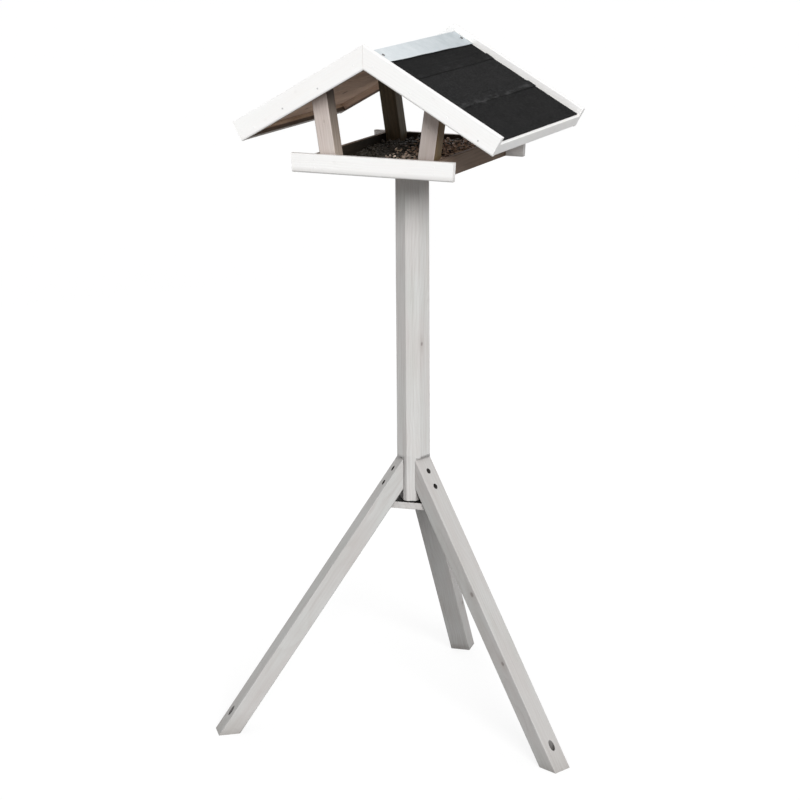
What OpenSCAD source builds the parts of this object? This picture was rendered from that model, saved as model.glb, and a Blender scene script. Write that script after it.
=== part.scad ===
// Bird feeder: a small roofed feeding tray on an octagonal post with three splayed legs.
// Millimetres, +Z up. The origin is on the ground, on the axis of the post.
// The ridge runs along Y, with the front gable towards -Y.

/* [Roof] */
// Height of the top of the bargeboards at the ridge
roof_height = 1450; // [1430:5:1480]
// Slope of the roof, in degrees
roof_pitch = 29.5; // [28:0.5:31]
// Length of a bargeboard along its top edge
slope_length = 330; // [320:1:340]
// Length of the roof over both pairs of bargeboards
ridge_length = 452; // [440:2:470]
// Depth of a bargeboard, square to the slope
bargeboard_depth = 42; // [40:1:46]
// Thickness of a bargeboard
bargeboard_thickness = 12; // [10:1:14]
// Height of the bargeboards' top edge above the felt
upstand = 15; // [12:1:17]
// Thickness of a roof panel
roof_panel_thickness = 10; // [9:1:12]
// Thickness of an eave board
eave_thickness = 16; // [12:1:18]
// Thickness of the roofing felt
felt_thickness = 2; // [1.5:0.5:2.5]
// Exposed height of a felt course
felt_exposure = 106; // [100:1:108]
// Lap of one felt course over the next
felt_lap = 20; // [15:1:25]
// How far the lowest course laps over the eave board
felt_eave_lap = 10; // [6:1:12]
// Width of each wing of the metal ridge cap
cap_width = 52; // [44:1:60]
// Thickness of the ridge cap's sheet metal
cap_sheet = 1; // [0.8:0.1:1.4]

/* [Tray] */
// Length of the front board along its top edge
front_board_length = 350.5; // [340:0.5:360]
// Length of the back board along its top edge
back_board_length = 340; // [330:1:360]
// Distance between the outer faces of the front and back boards
tray_depth = 366; // [360:2:374]
// Distance between the outer faces of the side boards
tray_width = 269; // [267:1:272]
// Height of the tray boards
tray_board_height = 38; // [34:1:42]
// Height of the tray boards' lower edge above the ground
tray_height = 1189; // [1180:1:1195]
// Thickness of the front and back boards
tray_board_thickness = 12; // [10:0.5:14]
// Thickness of the side boards
side_board_thickness = 10.5; // [9:0.5:11]
// How far each end of the front and back boards is cut back at the bottom
board_end_rake = 2; // [0:0.5:4]
// Thickness of the tray floor
floor_thickness = 9; // [6:1:12]
// Height of the heap of seed over the floor, at its crest
seed_heap = 19; // [14:1:22]

/* [Corner posts] */
// Side of a corner post's square section
corner_post = 35; // [28:1:36]
// Outward lean of the corner posts, in degrees
corner_lean = 8.5; // [5:0.5:10]

/* [Stand] */
// Post, across flats of its octagon
post_width = 68; // [64:1:72]
// Height of the lower end of the post above the ground
post_foot = 486.5; // [480:0.5:492]
// Distance from the post's axis to the outer edge of a foot
foot_reach = 430.5; // [420:0.5:440]
// Lean of a leg from upright, in degrees
leg_lean = 35; // [34:0.5:36]
// Thickness of a leg, square to its length
leg_thickness = 37.5; // [35:0.5:40]
// Width of a leg
leg_width = 44; // [40:1:46]
// Depth of the flat housing in the post that seats a leg
housing_depth = 6.5; // [4:0.5:8]
// Thickness of the spreader plate under the post
spreader_thickness = 15; // [9:1:16]
// Distance from the axis to a free edge of the spreader plate
spreader_reach = 37; // [34:1:39]
// Diameter of the peg hole through each foot
peg_hole_diameter = 12; // [10:1:13]
// Distance of the peg holes from the post's axis
peg_hole_reach = 399; // [396:1:408]

/* [Hidden] */
$fn = 48;

LEFT = -1;
RIGHT = 1;
FRONT = -1;
BACK = 1;

// Compass of the legs: degrees from the front (-Y) towards +X
leg_bearings = [68.4, -51.6, 188.4];

// Stand
leg_tan = tan(leg_lean);
leg_run = leg_thickness / cos(leg_lean);
foot_inner = foot_reach - leg_run;
seat_reach = post_width / 2 - housing_depth;
seat_top = (foot_reach - seat_reach) / leg_tan;
seat_bottom = (foot_inner - seat_reach) / leg_tan;
leg_tip_cut = 1.5;
housing_clearance = 0.3;
housing_headroom = 3;
shoulder_height = seat_top + housing_headroom;
octagon_sides = 8;
arris = 1.5;

// Screws that hold a leg: heights above the ground, and their sizes
leg_screw_heights = [551, 522];
screw_head_diameter = 8.5;
screw_head_height = 3;
screw_shank_diameter = 5;
screw_clearance = 0.2;
screw_bite = 24;
screw_seat_reach = 37;
counterbore_diameter = 9;
drive_diameter = 4.4;
drive_depth = 1.6;

// Spreader plate
spreader_gap = 2.5;
spreader_top = post_foot - spreader_gap;
spreader_bottom = spreader_top - spreader_thickness;
spreader_screw_length = 45;
washer_diameter = 16;
washer_thickness = 1.5;

// Tray
tray_top = tray_height + tray_board_height;
tray_inner_x = tray_width / 2 - side_board_thickness;
tray_inner_y = tray_depth / 2 - tray_board_thickness;
floor_recess = 3;
floor_bottom = tray_height + floor_recess;
floor_top = floor_bottom + floor_thickness;
head_plate_size = 120;
head_plate_thickness = 12;
head_plate_corner = 10;
post_top = floor_bottom - head_plate_thickness;
front_board_shift = -5.25;
back_board_shift = 4.5;

// Roof, in the slope's own directions: s runs down the slope from the ridge, n square to it
pitch_tan = tan(roof_pitch);
felt_top = -upstand;
panel_top = felt_top - felt_thickness;
panel_bottom = panel_top - roof_panel_thickness;
panel_end = slope_length - eave_thickness;
inside_bargeboards = ridge_length / 2 - bargeboard_thickness;
cap_end_gap = 0.5;
ridge_felt_setback = 4;
felt_end = panel_end + felt_eave_lap;
lap_lines = [felt_end - 2 * felt_exposure, felt_end - felt_exposure];

// Corner posts
post_fit = 0.3;
corner_tan = tan(corner_lean);
corner_foot_x = tray_inner_x - post_fit - corner_tan * (tray_top - floor_top);
soffit_at_ridge = roof_height + panel_bottom / cos(roof_pitch);

// Heap of seed
seed_edge_gap = 0.5;
seed_edge_height = 9;
seed_span = 205;
seed_rise = seed_heap - seed_edge_height;
seed_dome_radius = (seed_span * seed_span + seed_rise * seed_rise) / (2 * seed_rise);
seed_crest = [14, 26];

PAINT = "white";
STAND = "gainsboro";
TIMBER = "tan";
STEEL = "silver";
FELT = "dimgray";

// ---------------------------------------------------------------- shared shapes

// Turns children drawn in the plane of the front gable (X across, Z up) into a prism along Y
module along_y(y_from, y_to) {
    translate([0, y_to, 0])
        rotate([90, 0, 0])
            linear_extrude(height = y_to - y_from)
                children();
}

// Puts children onto one slope: X runs down the slope, Z stands square to it
module on_slope(side) {
    mirror([side < 0 ? 1 : 0, 0, 0])
        translate([0, 0, roof_height])
            rotate([0, roof_pitch, 0])
                children();
}

// Distance from the ridge at which the plumb mitre cuts the level n
function mitre(n) = -n * pitch_tan;

// A layer of the roof between two levels, mitred at the ridge
module roof_layer(side, top, bottom, end, half_length) {
    on_slope(side)
        along_y(-half_length, half_length)
            polygon([[mitre(top), top], [end, top], [end, bottom], [mitre(bottom), bottom]]);
}

// A board's section, with its long arrises eased
module eased_section(width, depth, ease) {
    polygon([
        [ease, 0], [width - ease, 0], [width, ease], [width, depth - ease],
        [width - ease, depth], [ease, depth], [0, depth - ease], [0, ease]
    ]);
}

// Turns children so that +X points along a leg's bearing
module towards(bearing) {
    rotate([0, 0, bearing - 90])
        children();
}

// ---------------------------------------------------------------- stand

// The flat housing that seats one leg against the post
module housing(bearing) {
    housing_width = leg_width + 2 * housing_clearance;
    towards(bearing)
        translate([seat_reach, -housing_width / 2, post_foot - 1])
            cube([post_width, housing_width, shoulder_height - post_foot + 1]);
}

// Pilot holes of one leg's screws, from the leg's outer face into the post
module pilot_holes(bearing) {
    for (height = leg_screw_heights)
        towards(bearing)
            translate([seat_reach - screw_bite, 0, height])
                rotate([0, 90, 0])
                    cylinder(d = screw_shank_diameter + 2 * screw_clearance, h = post_width + screw_bite);
}

module post() {
    across_corners = post_width / cos(180 / octagon_sides);
    color(STAND)
        difference() {
            towards(leg_bearings[0])
                translate([0, 0, post_foot])
                    rotate([0, 0, 180 / octagon_sides])
                        cylinder(d = across_corners, h = post_top - post_foot, $fn = octagon_sides);
            for (bearing = leg_bearings) {
                housing(bearing);
                pilot_holes(bearing);
            }
            translate([0, 0, post_foot - 1])
                cylinder(d = screw_shank_diameter + 2 * screw_clearance, h = spreader_screw_length);
        }
}

// A sawn bar that leans by an angle in the XZ plane; its outer face passes through (foot_x, foot_z)
module leaning_bar(foot_x, foot_z, lean, thickness, width, length) {
    translate([foot_x, 0, foot_z])
        rotate([0, lean, 0])
            translate([-thickness, -width / 2, -thickness])
                linear_extrude(height = length)
                    eased_section(thickness, width, arris);
}

// A leg with a level sole, a plumb seat against the post and a blunted tip
module leg(bearing) {
    bar_length = seat_top / cos(leg_lean) + 2 * leg_thickness;
    color(STAND)
        difference() {
            towards(bearing)
                intersection() {
                    leaning_bar(foot_reach, 0, -leg_lean, leg_thickness, leg_width, bar_length);
                    translate([seat_reach, -leg_width / 2, 0])
                        cube([foot_reach, leg_width, seat_top - leg_tip_cut]);
                }
            towards(bearing)
                translate([peg_hole_reach, 0, -1])
                    cylinder(d = peg_hole_diameter, h = seat_bottom / 2);
            for (height = leg_screw_heights)
                towards(bearing)
                    translate([screw_seat_reach, 0, height])
                        rotate([0, 90, 0])
                            cylinder(d = counterbore_diameter, h = post_width);
            pilot_holes(bearing);
        }
}

// A round-headed screw that points along -Z from its head's seat at the origin
module screw(length) {
    difference() {
        union() {
            translate([0, 0, -length])
                cylinder(d = screw_shank_diameter, h = length);
            cylinder(d = screw_head_diameter, h = screw_head_height);
        }
        translate([0, 0, screw_head_height - drive_depth])
            cylinder(d = drive_diameter, h = drive_depth + 1, $fn = 6);
    }
}

module leg_screws(bearing) {
    color(STEEL)
        for (height = leg_screw_heights)
            towards(bearing)
                translate([screw_seat_reach, 0, height])
                    rotate([0, 90, 0])
                        screw(screw_seat_reach - seat_reach + screw_bite - 1);
}

// The space taken by a leg and all that lies outside its inner face
module beyond_inner_face(bearing) {
    reach = post_width * 2;
    towards(bearing)
        along_y(-post_width, post_width)
            polygon([
                [foot_inner, 0], [foot_inner + reach, 0],
                [foot_inner - leg_tan * shoulder_height + reach, shoulder_height],
                [foot_inner - leg_tan * shoulder_height, shoulder_height]
            ]);
}

// A three-cornered plate whose corners are bevelled to bear on the legs' inner faces
module spreader_plate() {
    color(STAND)
        difference() {
            translate([0, 0, spreader_bottom])
                rotate([0, 0, leg_bearings[0] - 90])
                    cylinder(r = 2 * spreader_reach, h = spreader_thickness, $fn = 3);
            for (bearing = leg_bearings)
                beyond_inner_face(bearing);
            translate([0, 0, spreader_bottom - 1])
                cylinder(d = screw_shank_diameter + 2 * screw_clearance, h = spreader_thickness + 2);
        }
}

// The screw and washer that draw the spreader plate up under the post
module spreader_screw() {
    color(STEEL)
        translate([0, 0, spreader_bottom - washer_thickness]) {
            rotate([180, 0, 0])
                screw(spreader_screw_length);
            cylinder(d = washer_diameter, h = washer_thickness);
        }
}

module head_plate() {
    half = head_plate_size / 2;
    color(TIMBER)
        translate([0, 0, post_top])
            linear_extrude(height = head_plate_thickness)
                polygon([
                    [half - head_plate_corner, -half], [half, head_plate_corner - half],
                    [half, half - head_plate_corner], [half - head_plate_corner, half],
                    [head_plate_corner - half, half], [-half, half - head_plate_corner],
                    [-half, head_plate_corner - half], [head_plate_corner - half, -half]
                ]);
}

// ---------------------------------------------------------------- tray

module tray_floor() {
    color(TIMBER)
        translate([-tray_inner_x, -tray_inner_y, floor_bottom])
            cube([2 * tray_inner_x, 2 * tray_inner_y, floor_thickness]);
}

// Front or back board, longer than the tray is wide, with raked ends and eased edges
module tray_gable_board(face, board_length, shift) {
    top_half = board_length / 2;
    bottom_half = top_half - board_end_rake;
    color(PAINT)
        translate([shift, 0, 0])
            intersection() {
                along_y(face, face + tray_board_thickness)
                    polygon([
                        [-bottom_half, tray_height], [bottom_half, tray_height],
                        [top_half, tray_top], [-top_half, tray_top]
                    ]);
                translate([-top_half, face, tray_height])
                    rotate([90, 0, 90])
                        linear_extrude(height = board_length)
                            eased_section(tray_board_thickness, tray_board_height, arris);
            }
}

module tray_front_board() {
    tray_gable_board(-tray_depth / 2, front_board_length, front_board_shift);
}

module tray_back_board() {
    tray_gable_board(tray_inner_y, back_board_length, back_board_shift);
}

module tray_side_board(side) {
    face = side < 0 ? -tray_width / 2 : tray_inner_x;
    color(PAINT)
        translate([face, tray_inner_y, tray_height])
            rotate([90, 0, 0])
                linear_extrude(height = 2 * tray_inner_y)
                    eased_section(side_board_thickness, tray_board_height, arris);
}

// A low heap of seed that fills the tray between the corner posts
module seed_bed() {
    half_x = tray_inner_x - seed_edge_gap;
    half_y = tray_inner_y - seed_edge_gap;
    notch = corner_post + corner_tan * tray_board_height + seed_edge_gap;
    color("peru")
        difference() {
            intersection() {
                translate([-half_x, -half_y, floor_top])
                    cube([2 * half_x, 2 * half_y, seed_heap]);
                translate([seed_crest[0], seed_crest[1], floor_top + seed_heap - seed_dome_radius])
                    sphere(r = seed_dome_radius, $fn = 360);
            }
            for (side = [LEFT, RIGHT], end = [FRONT, BACK])
                translate([side * half_x, end * half_y, floor_top])
                    cube([2 * notch, 2 * (corner_post + seed_edge_gap), 3 * seed_heap], center = true);
        }
}

// ---------------------------------------------------------------- corner posts

// Height of the roof's underside at a distance x from the ridge
function soffit_z(x) = soffit_at_ridge - pitch_tan * x;

// A post that stands on the tray floor, leans outwards and is bevelled to the slope at its head
module corner_post(side, end) {
    face = end < 0 ? -tray_inner_y : tray_inner_y - corner_post;
    bar_length = soffit_at_ridge - floor_top;
    color(PAINT)
        mirror([side < 0 ? 1 : 0, 0, 0])
            intersection() {
                translate([0, face + corner_post / 2, 0])
                    leaning_bar(corner_foot_x, floor_top, corner_lean, corner_post, corner_post, bar_length);
                along_y(face, face + corner_post)
                    polygon([
                        [0, floor_top], [tray_width, floor_top],
                        [tray_width, soffit_z(tray_width)], [0, soffit_at_ridge]
                    ]);
            }
}

// ---------------------------------------------------------------- roof

module roof_panel(side) {
    color(TIMBER)
        roof_layer(side, panel_top, panel_bottom, panel_end, inside_bargeboards);
}

// A bargeboard with eased edges, mitred at the ridge
module bargeboard(side, end) {
    face = end < 0 ? -ridge_length / 2 : inside_bargeboards;
    color(PAINT)
        on_slope(side)
            intersection() {
                along_y(face, face + bargeboard_thickness)
                    polygon([
                        [0, 0], [slope_length, 0],
                        [slope_length, -bargeboard_depth],
                        [mitre(-bargeboard_depth), -bargeboard_depth]
                    ]);
                translate([0, face, -bargeboard_depth])
                    rotate([90, 0, 90])
                        linear_extrude(height = slope_length)
                            eased_section(bargeboard_thickness, bargeboard_depth, arris);
            }
}

module eave_board(side) {
    color(PAINT)
        on_slope(side)
            translate([panel_end, inside_bargeboards, -bargeboard_depth])
                rotate([90, 0, 0])
                    linear_extrude(height = 2 * inside_bargeboards)
                        eased_section(eave_thickness, bargeboard_depth + panel_top, arris);
}

// The lowest course lies flat on the panel and laps over the top of the eave board
module felt_lower(side) {
    color(FELT)
        on_slope(side)
            along_y(-inside_bargeboards, inside_bargeboards)
                polygon([
                    [lap_lines[1] - felt_lap, felt_top], [felt_end, felt_top],
                    [felt_end, panel_top], [lap_lines[1] - felt_lap, panel_top]
                ]);
}

// An upper course steps over the head of the course below it
module felt_course(side, head_top, head_bottom, lap_line) {
    step = lap_line - felt_lap;
    color(FELT)
        on_slope(side)
            along_y(-inside_bargeboards, inside_bargeboards)
                polygon([
                    [head_top, felt_top], [step - felt_thickness, felt_top],
                    [step, felt_top + felt_thickness], [lap_line, felt_top + felt_thickness],
                    [lap_line, felt_top], [step, felt_top],
                    [step, panel_top], [head_bottom, panel_top]
                ]);
}

module felt_middle(side) {
    head = lap_lines[0] - felt_lap;
    felt_course(side, head, head, lap_lines[1]);
}

module felt_upper(side) {
    felt_course(side, mitre(felt_top), mitre(panel_top), lap_lines[0]);
}

// A point of the roof's section in the gable's plane, from its place on the right-hand slope
function gable_point(s, n) = [
    s * cos(roof_pitch) + n * sin(roof_pitch),
    roof_height - s * sin(roof_pitch) + n * cos(roof_pitch)
];

// A sheet folded over the ridge, by its width down each slope and the level of its underside
module ridge_sheet(width, underside, thickness, half_length) {
    face = underside + thickness;
    outer_edge = gable_point(width, face);
    inner_edge = gable_point(width, underside);
    along_y(-half_length, half_length)
        polygon([
            outer_edge, gable_point(mitre(face), face), [-outer_edge[0], outer_edge[1]],
            [-inner_edge[0], inner_edge[1]], gable_point(mitre(underside), underside), inner_edge
        ]);
}

// A strip of felt over the heads of the upper courses
module ridge_felt() {
    color(FELT)
        ridge_sheet(cap_width - ridge_felt_setback, felt_top, felt_thickness, inside_bargeboards);
}

// Sheet metal over the ridge felt, between the bargeboards
module ridge_cap() {
    color(STEEL)
        ridge_sheet(cap_width, felt_top + felt_thickness, cap_sheet, inside_bargeboards - cap_end_gap);
}

post();
leg(leg_bearings[0]);  // leg_right
leg(leg_bearings[1]);  // leg_left
leg(leg_bearings[2]);  // leg_back
leg_screws(leg_bearings[0]);  // leg_screws_right
leg_screws(leg_bearings[1]);  // leg_screws_left
leg_screws(leg_bearings[2]);  // leg_screws_back
spreader_plate();
spreader_screw();
head_plate();
tray_floor();
tray_front_board();
tray_back_board();
tray_side_board(LEFT);  // tray_left_board
tray_side_board(RIGHT);  // tray_right_board
corner_post(LEFT, FRONT);  // corner_post_front_left
corner_post(RIGHT, FRONT);  // corner_post_front_right
corner_post(LEFT, BACK);  // corner_post_back_left
corner_post(RIGHT, BACK);  // corner_post_back_right
roof_panel(LEFT);  // roof_panel_left
roof_panel(RIGHT);  // roof_panel_right
bargeboard(LEFT, FRONT);  // bargeboard_front_left
bargeboard(RIGHT, FRONT);  // bargeboard_front_right
bargeboard(LEFT, BACK);  // bargeboard_back_left
bargeboard(RIGHT, BACK);  // bargeboard_back_right
eave_board(LEFT);  // eave_board_left
eave_board(RIGHT);  // eave_board_right
felt_lower(LEFT);  // felt_left_lower
felt_middle(LEFT);  // felt_left_middle
felt_upper(LEFT);  // felt_left_upper
felt_lower(RIGHT);  // felt_right_lower
felt_middle(RIGHT);  // felt_right_middle
felt_upper(RIGHT);  // felt_right_upper
ridge_felt();
ridge_cap();
seed_bed();
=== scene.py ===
"""Looks of the bird feeder: painted and bare timber, roofing felt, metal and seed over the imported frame."""

from __future__ import annotations

import logging
import math
import random
from collections.abc import Callable, Iterator, Sequence
from contextlib import contextmanager
from dataclasses import dataclass, field, replace
from enum import Enum
from functools import cache
from typing import Any

import bmesh
import bpy
import numpy as np
from mathutils import Euler, Matrix, Vector


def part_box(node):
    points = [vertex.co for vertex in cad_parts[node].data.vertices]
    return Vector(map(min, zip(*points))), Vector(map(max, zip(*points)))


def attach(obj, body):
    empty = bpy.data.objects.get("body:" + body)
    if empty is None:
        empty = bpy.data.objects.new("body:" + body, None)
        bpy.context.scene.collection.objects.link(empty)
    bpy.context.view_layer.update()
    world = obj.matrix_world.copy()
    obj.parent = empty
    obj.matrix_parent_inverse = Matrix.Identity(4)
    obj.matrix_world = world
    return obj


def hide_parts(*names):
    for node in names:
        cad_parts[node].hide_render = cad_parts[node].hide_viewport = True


LOG = logging.getLogger("bird_feeder")
Colour = tuple[float, float, float]
Tones = tuple[Colour, Colour]
Pair = tuple[float, float]
Triple = tuple[float, float, float]
Rows = tuple[tuple[float, ...], ...]
Piece = bpy.types.Object
Material = bpy.types.Material
Socket = bpy.types.NodeSocket
Tree = bpy.types.NodeTree
Edge = bmesh.types.BMEdge

UP = Vector((0, 0, 1))
TO_RIGHT = Vector((1, 0, 0))
TO_BACK = Vector((0, 1, 0))
ORIGIN = (0.0, 0.0, 0.0)
HAIR = 1e-5
LONG = 0.1
SHORT = 0.008


class Side(Enum):
    """The two slopes of the roof, by the sign of X."""

    LEFT = -1
    RIGHT = 1


class End(Enum):
    """The two gable ends, by the sign of Y."""

    FRONT = -1
    BACK = 1


@cache
def solid_box(node: str) -> tuple[Vector, Vector]:
    """Lowest and highest corner of one of the frame's solids."""
    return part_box(node)


def outer_face(node: str, end: End) -> float:
    """Y of the face of a solid that looks out at one gable end."""
    low, high = solid_box(node)
    return low.y if end is End.FRONT else high.y


def edge_at(edge: Edge, x: float | None = None, y: float | None = None, z: float | None = None) -> bool:
    """Says whether an edge lies at the given coordinates; those left out may be anything."""
    return all(
        wanted is None or abs(vertex.co[axis] - wanted) < HAIR
        for vertex in edge.verts
        for axis, wanted in enumerate((x, y, z))
    )


# ---------------- bench work


class Bench:
    """Modelling moves shared by every piece, made with Blender's own operators."""

    arris_angle = math.radians(40)
    knife_angle = math.radians(130)
    flat_angle = math.radians(0.6)
    weld = 0.00002
    flat_weight = 80

    @staticmethod
    def clear() -> None:
        """Leaves edit mode and deselects everything."""
        if bpy.context.mode != "OBJECT":
            bpy.ops.object.mode_set(mode="OBJECT")
        bpy.ops.object.select_all(action="DESELECT")

    @staticmethod
    def take(*pieces: Piece) -> None:
        """Selects only these pieces, the first of them active."""
        Bench.clear()
        for piece in pieces:
            piece.select_set(True)
        bpy.context.view_layer.objects.active = pieces[0]

    @staticmethod
    @contextmanager
    def editing(piece: Piece) -> Iterator[Piece]:
        """Opens a piece in edit mode with nothing selected, and closes it again."""
        Bench.take(piece)
        bpy.ops.object.mode_set(mode="EDIT")
        bpy.ops.mesh.select_all(action="DESELECT")
        yield piece
        bpy.ops.object.mode_set(mode="OBJECT")

    @staticmethod
    def pick(kind: str, test: Callable[[Any], bool]) -> int:
        """Selects the parts of the edited mesh that pass a test, and nothing else.

        Args:
            kind: VERT, EDGE or FACE.
            test: Says whether a vertex, edge or face is wanted.

        Returns:
            How many parts were selected.
        """
        bpy.ops.mesh.select_mode(type=kind)
        bpy.ops.mesh.select_all(action="DESELECT")
        mesh = bmesh.from_edit_mesh(bpy.context.edit_object.data)
        parts = {"VERT": mesh.verts, "EDGE": mesh.edges, "FACE": mesh.faces}[kind]
        wanted = [part for part in parts if test(part)]
        for part in wanted:
            part.select_set(True)
        mesh.select_flush_mode()
        bmesh.update_edit_mesh(bpy.context.edit_object.data)
        return len(wanted)

    @staticmethod
    def block(name: str, low: Sequence[float], high: Sequence[float]) -> Piece:
        """Adds a block between its lowest and its highest corner."""
        Bench.clear()
        start, stop = Vector(low), Vector(high)
        bpy.ops.mesh.primitive_cube_add(size=1.0, location=(start + stop) / 2, scale=stop - start)
        return Bench.named(name)

    @staticmethod
    def rod(name: str, radius: float, bottom: float, top: float, sides: int = 24) -> Piece:
        """Adds an upright round bar of so many flat sides on the Z axis, from its lower end to its upper."""
        Bench.clear()
        depth, middle = top - bottom, (0, 0, (top + bottom) / 2)
        bpy.ops.mesh.primitive_cylinder_add(vertices=sides, radius=radius, depth=depth, location=middle)
        return Bench.named(name)

    @staticmethod
    def named(name: str) -> Piece:
        """Names the piece just added and sets its place into its mesh."""
        piece = bpy.context.object
        piece.name = name
        piece.data.name = name
        bpy.ops.object.transform_apply(location=True, rotation=True, scale=True)
        return piece

    @staticmethod
    def new(name: str, mesh: bpy.types.Mesh) -> Piece:
        """Adds a piece with the given mesh."""
        piece = bpy.data.objects.new(name, mesh)
        bpy.context.scene.collection.objects.link(piece)
        return piece

    @staticmethod
    def copy_of(node: str, name: str) -> Piece:
        """Makes a welded copy of a solid, its flat faces whole, ready to be shaped.

        Args:
            node: Name of the solid in the frame.
            name: Name of the new piece.

        Returns:
            The copy.
        """
        piece = Bench.new(name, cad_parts[node].data.copy())
        piece.data.materials.clear()
        with Bench.editing(piece):
            bpy.ops.mesh.select_all(action="SELECT")
            bpy.ops.mesh.remove_doubles(threshold=Bench.weld)
            bpy.ops.mesh.dissolve_limited(angle_limit=Bench.flat_angle)
        return piece

    @staticmethod
    def twin(piece: Piece, name: str, place: Matrix) -> Piece:
        """Copies a piece with its own mesh and sets it in a new place."""
        return Bench.seat(Bench.new(name, piece.data.copy()), place)

    @staticmethod
    def seat(piece: Piece, place: Matrix) -> Piece:
        """Moves a piece and sets its new place into its mesh."""
        piece.matrix_world = place
        Bench.take(piece)
        bpy.ops.object.transform_apply(location=True, rotation=True, scale=True)
        return piece

    @staticmethod
    def scrap(*pieces: Piece) -> None:
        """Removes patterns and cutters that have done their work."""
        for piece in pieces:
            bpy.data.objects.remove(piece, do_unlink=True)

    @staticmethod
    def join(name: str, pieces: Sequence[Piece]) -> Piece:
        """Joins pieces into one of the given name."""
        Bench.take(*pieces)
        bpy.ops.object.join()
        joined = bpy.context.object
        joined.name = name
        joined.data.name = name
        return joined

    @staticmethod
    def ease(
        piece: Piece,
        width: float,
        segments: int = 2,
        longer_than: float = 0.010,
        test: Callable[[Any], bool] | None = None,
    ) -> None:
        """Rounds a piece's long arrises, leaving knife edges and the blunt ones inside an earlier rounding.

        Args:
            piece: The piece to work.
            width: Width of the rounding.
            segments: Number of faces across it.
            longer_than: Edges shorter than this are left sharp.
            test: Says which of those edges are wanted; all of them where it is left out.
        """

        def wanted(edge: Edge) -> bool:
            """Says whether an edge is a long arris that the test lets through."""
            if len(edge.link_faces) != 2 or edge.calc_length() < longer_than:
                return False
            square_enough = Bench.arris_angle < edge.calc_face_angle(0.0) < Bench.knife_angle
            return square_enough and (test is None or test(edge))

        with Bench.editing(piece):
            if Bench.pick("EDGE", wanted):
                bpy.ops.mesh.bevel(offset=width, segments=segments, affect="EDGES", clamp_overlap=False)

    @staticmethod
    def apply(piece: Piece, kind: str, **settings: Any) -> None:
        """Adds a modifier with the given settings and applies it."""
        modifier = piece.modifiers.new(kind.title(), kind)
        for key, value in settings.items():
            setattr(modifier, key, value)
        Bench.take(piece)
        bpy.ops.object.modifier_apply(modifier=modifier.name)

    @staticmethod
    def slice_along(piece: Piece, direction: Vector, stations: Sequence[float]) -> None:
        """Cuts edge loops right round a piece at distances along a direction, so that it can bend there."""
        with Bench.editing(piece):
            for station in stations:
                bpy.ops.mesh.select_all(action="SELECT")
                bpy.ops.mesh.bisect(plane_co=direction * station, plane_no=direction)

    @staticmethod
    def slice_evenly(piece: Piece, direction: Vector, step: float = 0.05) -> None:
        """Cuts a long piece into even lengths, so that its flat faces are shaded flat from end to end."""
        reaches = [direction.dot(vertex.co) for vertex in piece.data.vertices]
        start, length = min(reaches), max(reaches) - min(reaches)
        count = max(1, round(length / step))
        Bench.slice_along(piece, direction, [start + length * index / count for index in range(1, count)])

    @staticmethod
    def draw_down(depth: float) -> None:
        """Draws the selected faces of the edited mesh straight down."""
        bpy.ops.mesh.extrude_region_move(TRANSFORM_OT_translate={"value": (0, 0, -depth)})

    @staticmethod
    def drift(piece: Piece, shift: Callable[[Vector], Vector]) -> None:
        """Moves every corner of a piece by a smooth amount that depends on its place."""
        for vertex in piece.data.vertices:
            vertex.co += shift(vertex.co.copy())
        piece.data.update()

    @staticmethod
    def finish(
        piece: Piece,
        material: Material,
        slot: str,
        replaces: Sequence[str] = (),
        smooth: float = 35.0,
        flats: bool = True,
    ) -> Piece:
        """Dresses a finished piece and fixes it to the feeder.

        Args:
            piece: The finished piece.
            material: Its finish; left as it is where the piece already carries materials.
            slot: Name of the record's material slot; it is only logged.
            replaces: The solids that it stands for.
            smooth: Faces that meet at less than this many degrees are shaded as one.
            flats: Says that the piece has flat faces, which are kept flat between its rounded arrises.

        Returns:
            The piece.
        """
        if not piece.data.materials:
            piece.data.materials.append(material)
        Bench.take(piece)
        bpy.ops.object.shade_smooth_by_angle(angle=math.radians(smooth))
        if flats:
            Bench.apply(piece, "WEIGHTED_NORMAL", keep_sharp=True, weight=Bench.flat_weight)
        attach(piece, "root")
        if replaces:
            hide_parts(*replaces)
        LOG.info("%s: %d faces, %s", piece.name, len(piece.data.polygons), slot)
        return piece


@dataclass(frozen=True)
class Slope:
    """One slope of the roof in its own directions: down from the ridge, along it, and out of the slope."""

    side: Side
    pitch: float
    apex: float

    @property
    def place(self) -> Matrix:
        """Takes slope directions (down, along, out) to the frame's; along runs to -Y on the left."""
        sign = self.side.value
        down = Vector((sign * math.cos(self.pitch), 0, -math.sin(self.pitch)))
        out = Vector((sign * math.sin(self.pitch), 0, math.cos(self.pitch)))
        turn = Matrix((down, Vector((0, sign, 0)), out)).transposed()
        return Matrix.Translation((0, 0, self.apex)) @ turn.to_4x4()

    @property
    def down(self) -> Vector:
        """The way down the slope."""
        return self.place.to_3x3() @ TO_RIGHT

    @property
    def out(self) -> Vector:
        """The way out of the slope, square to it."""
        return self.place.to_3x3() @ UP

    def point(self, down: float, y: float, out: float) -> Vector:
        """A point of the frame from its place on the slope and its Y."""
        return self.place @ Vector((down, self.side.value * y, out))

    def of(self, point: Vector) -> Vector:
        """A point's place on the slope: down, along (in Y) and out."""
        local = self.place.inverted() @ point
        local.y *= self.side.value
        return local


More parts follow.
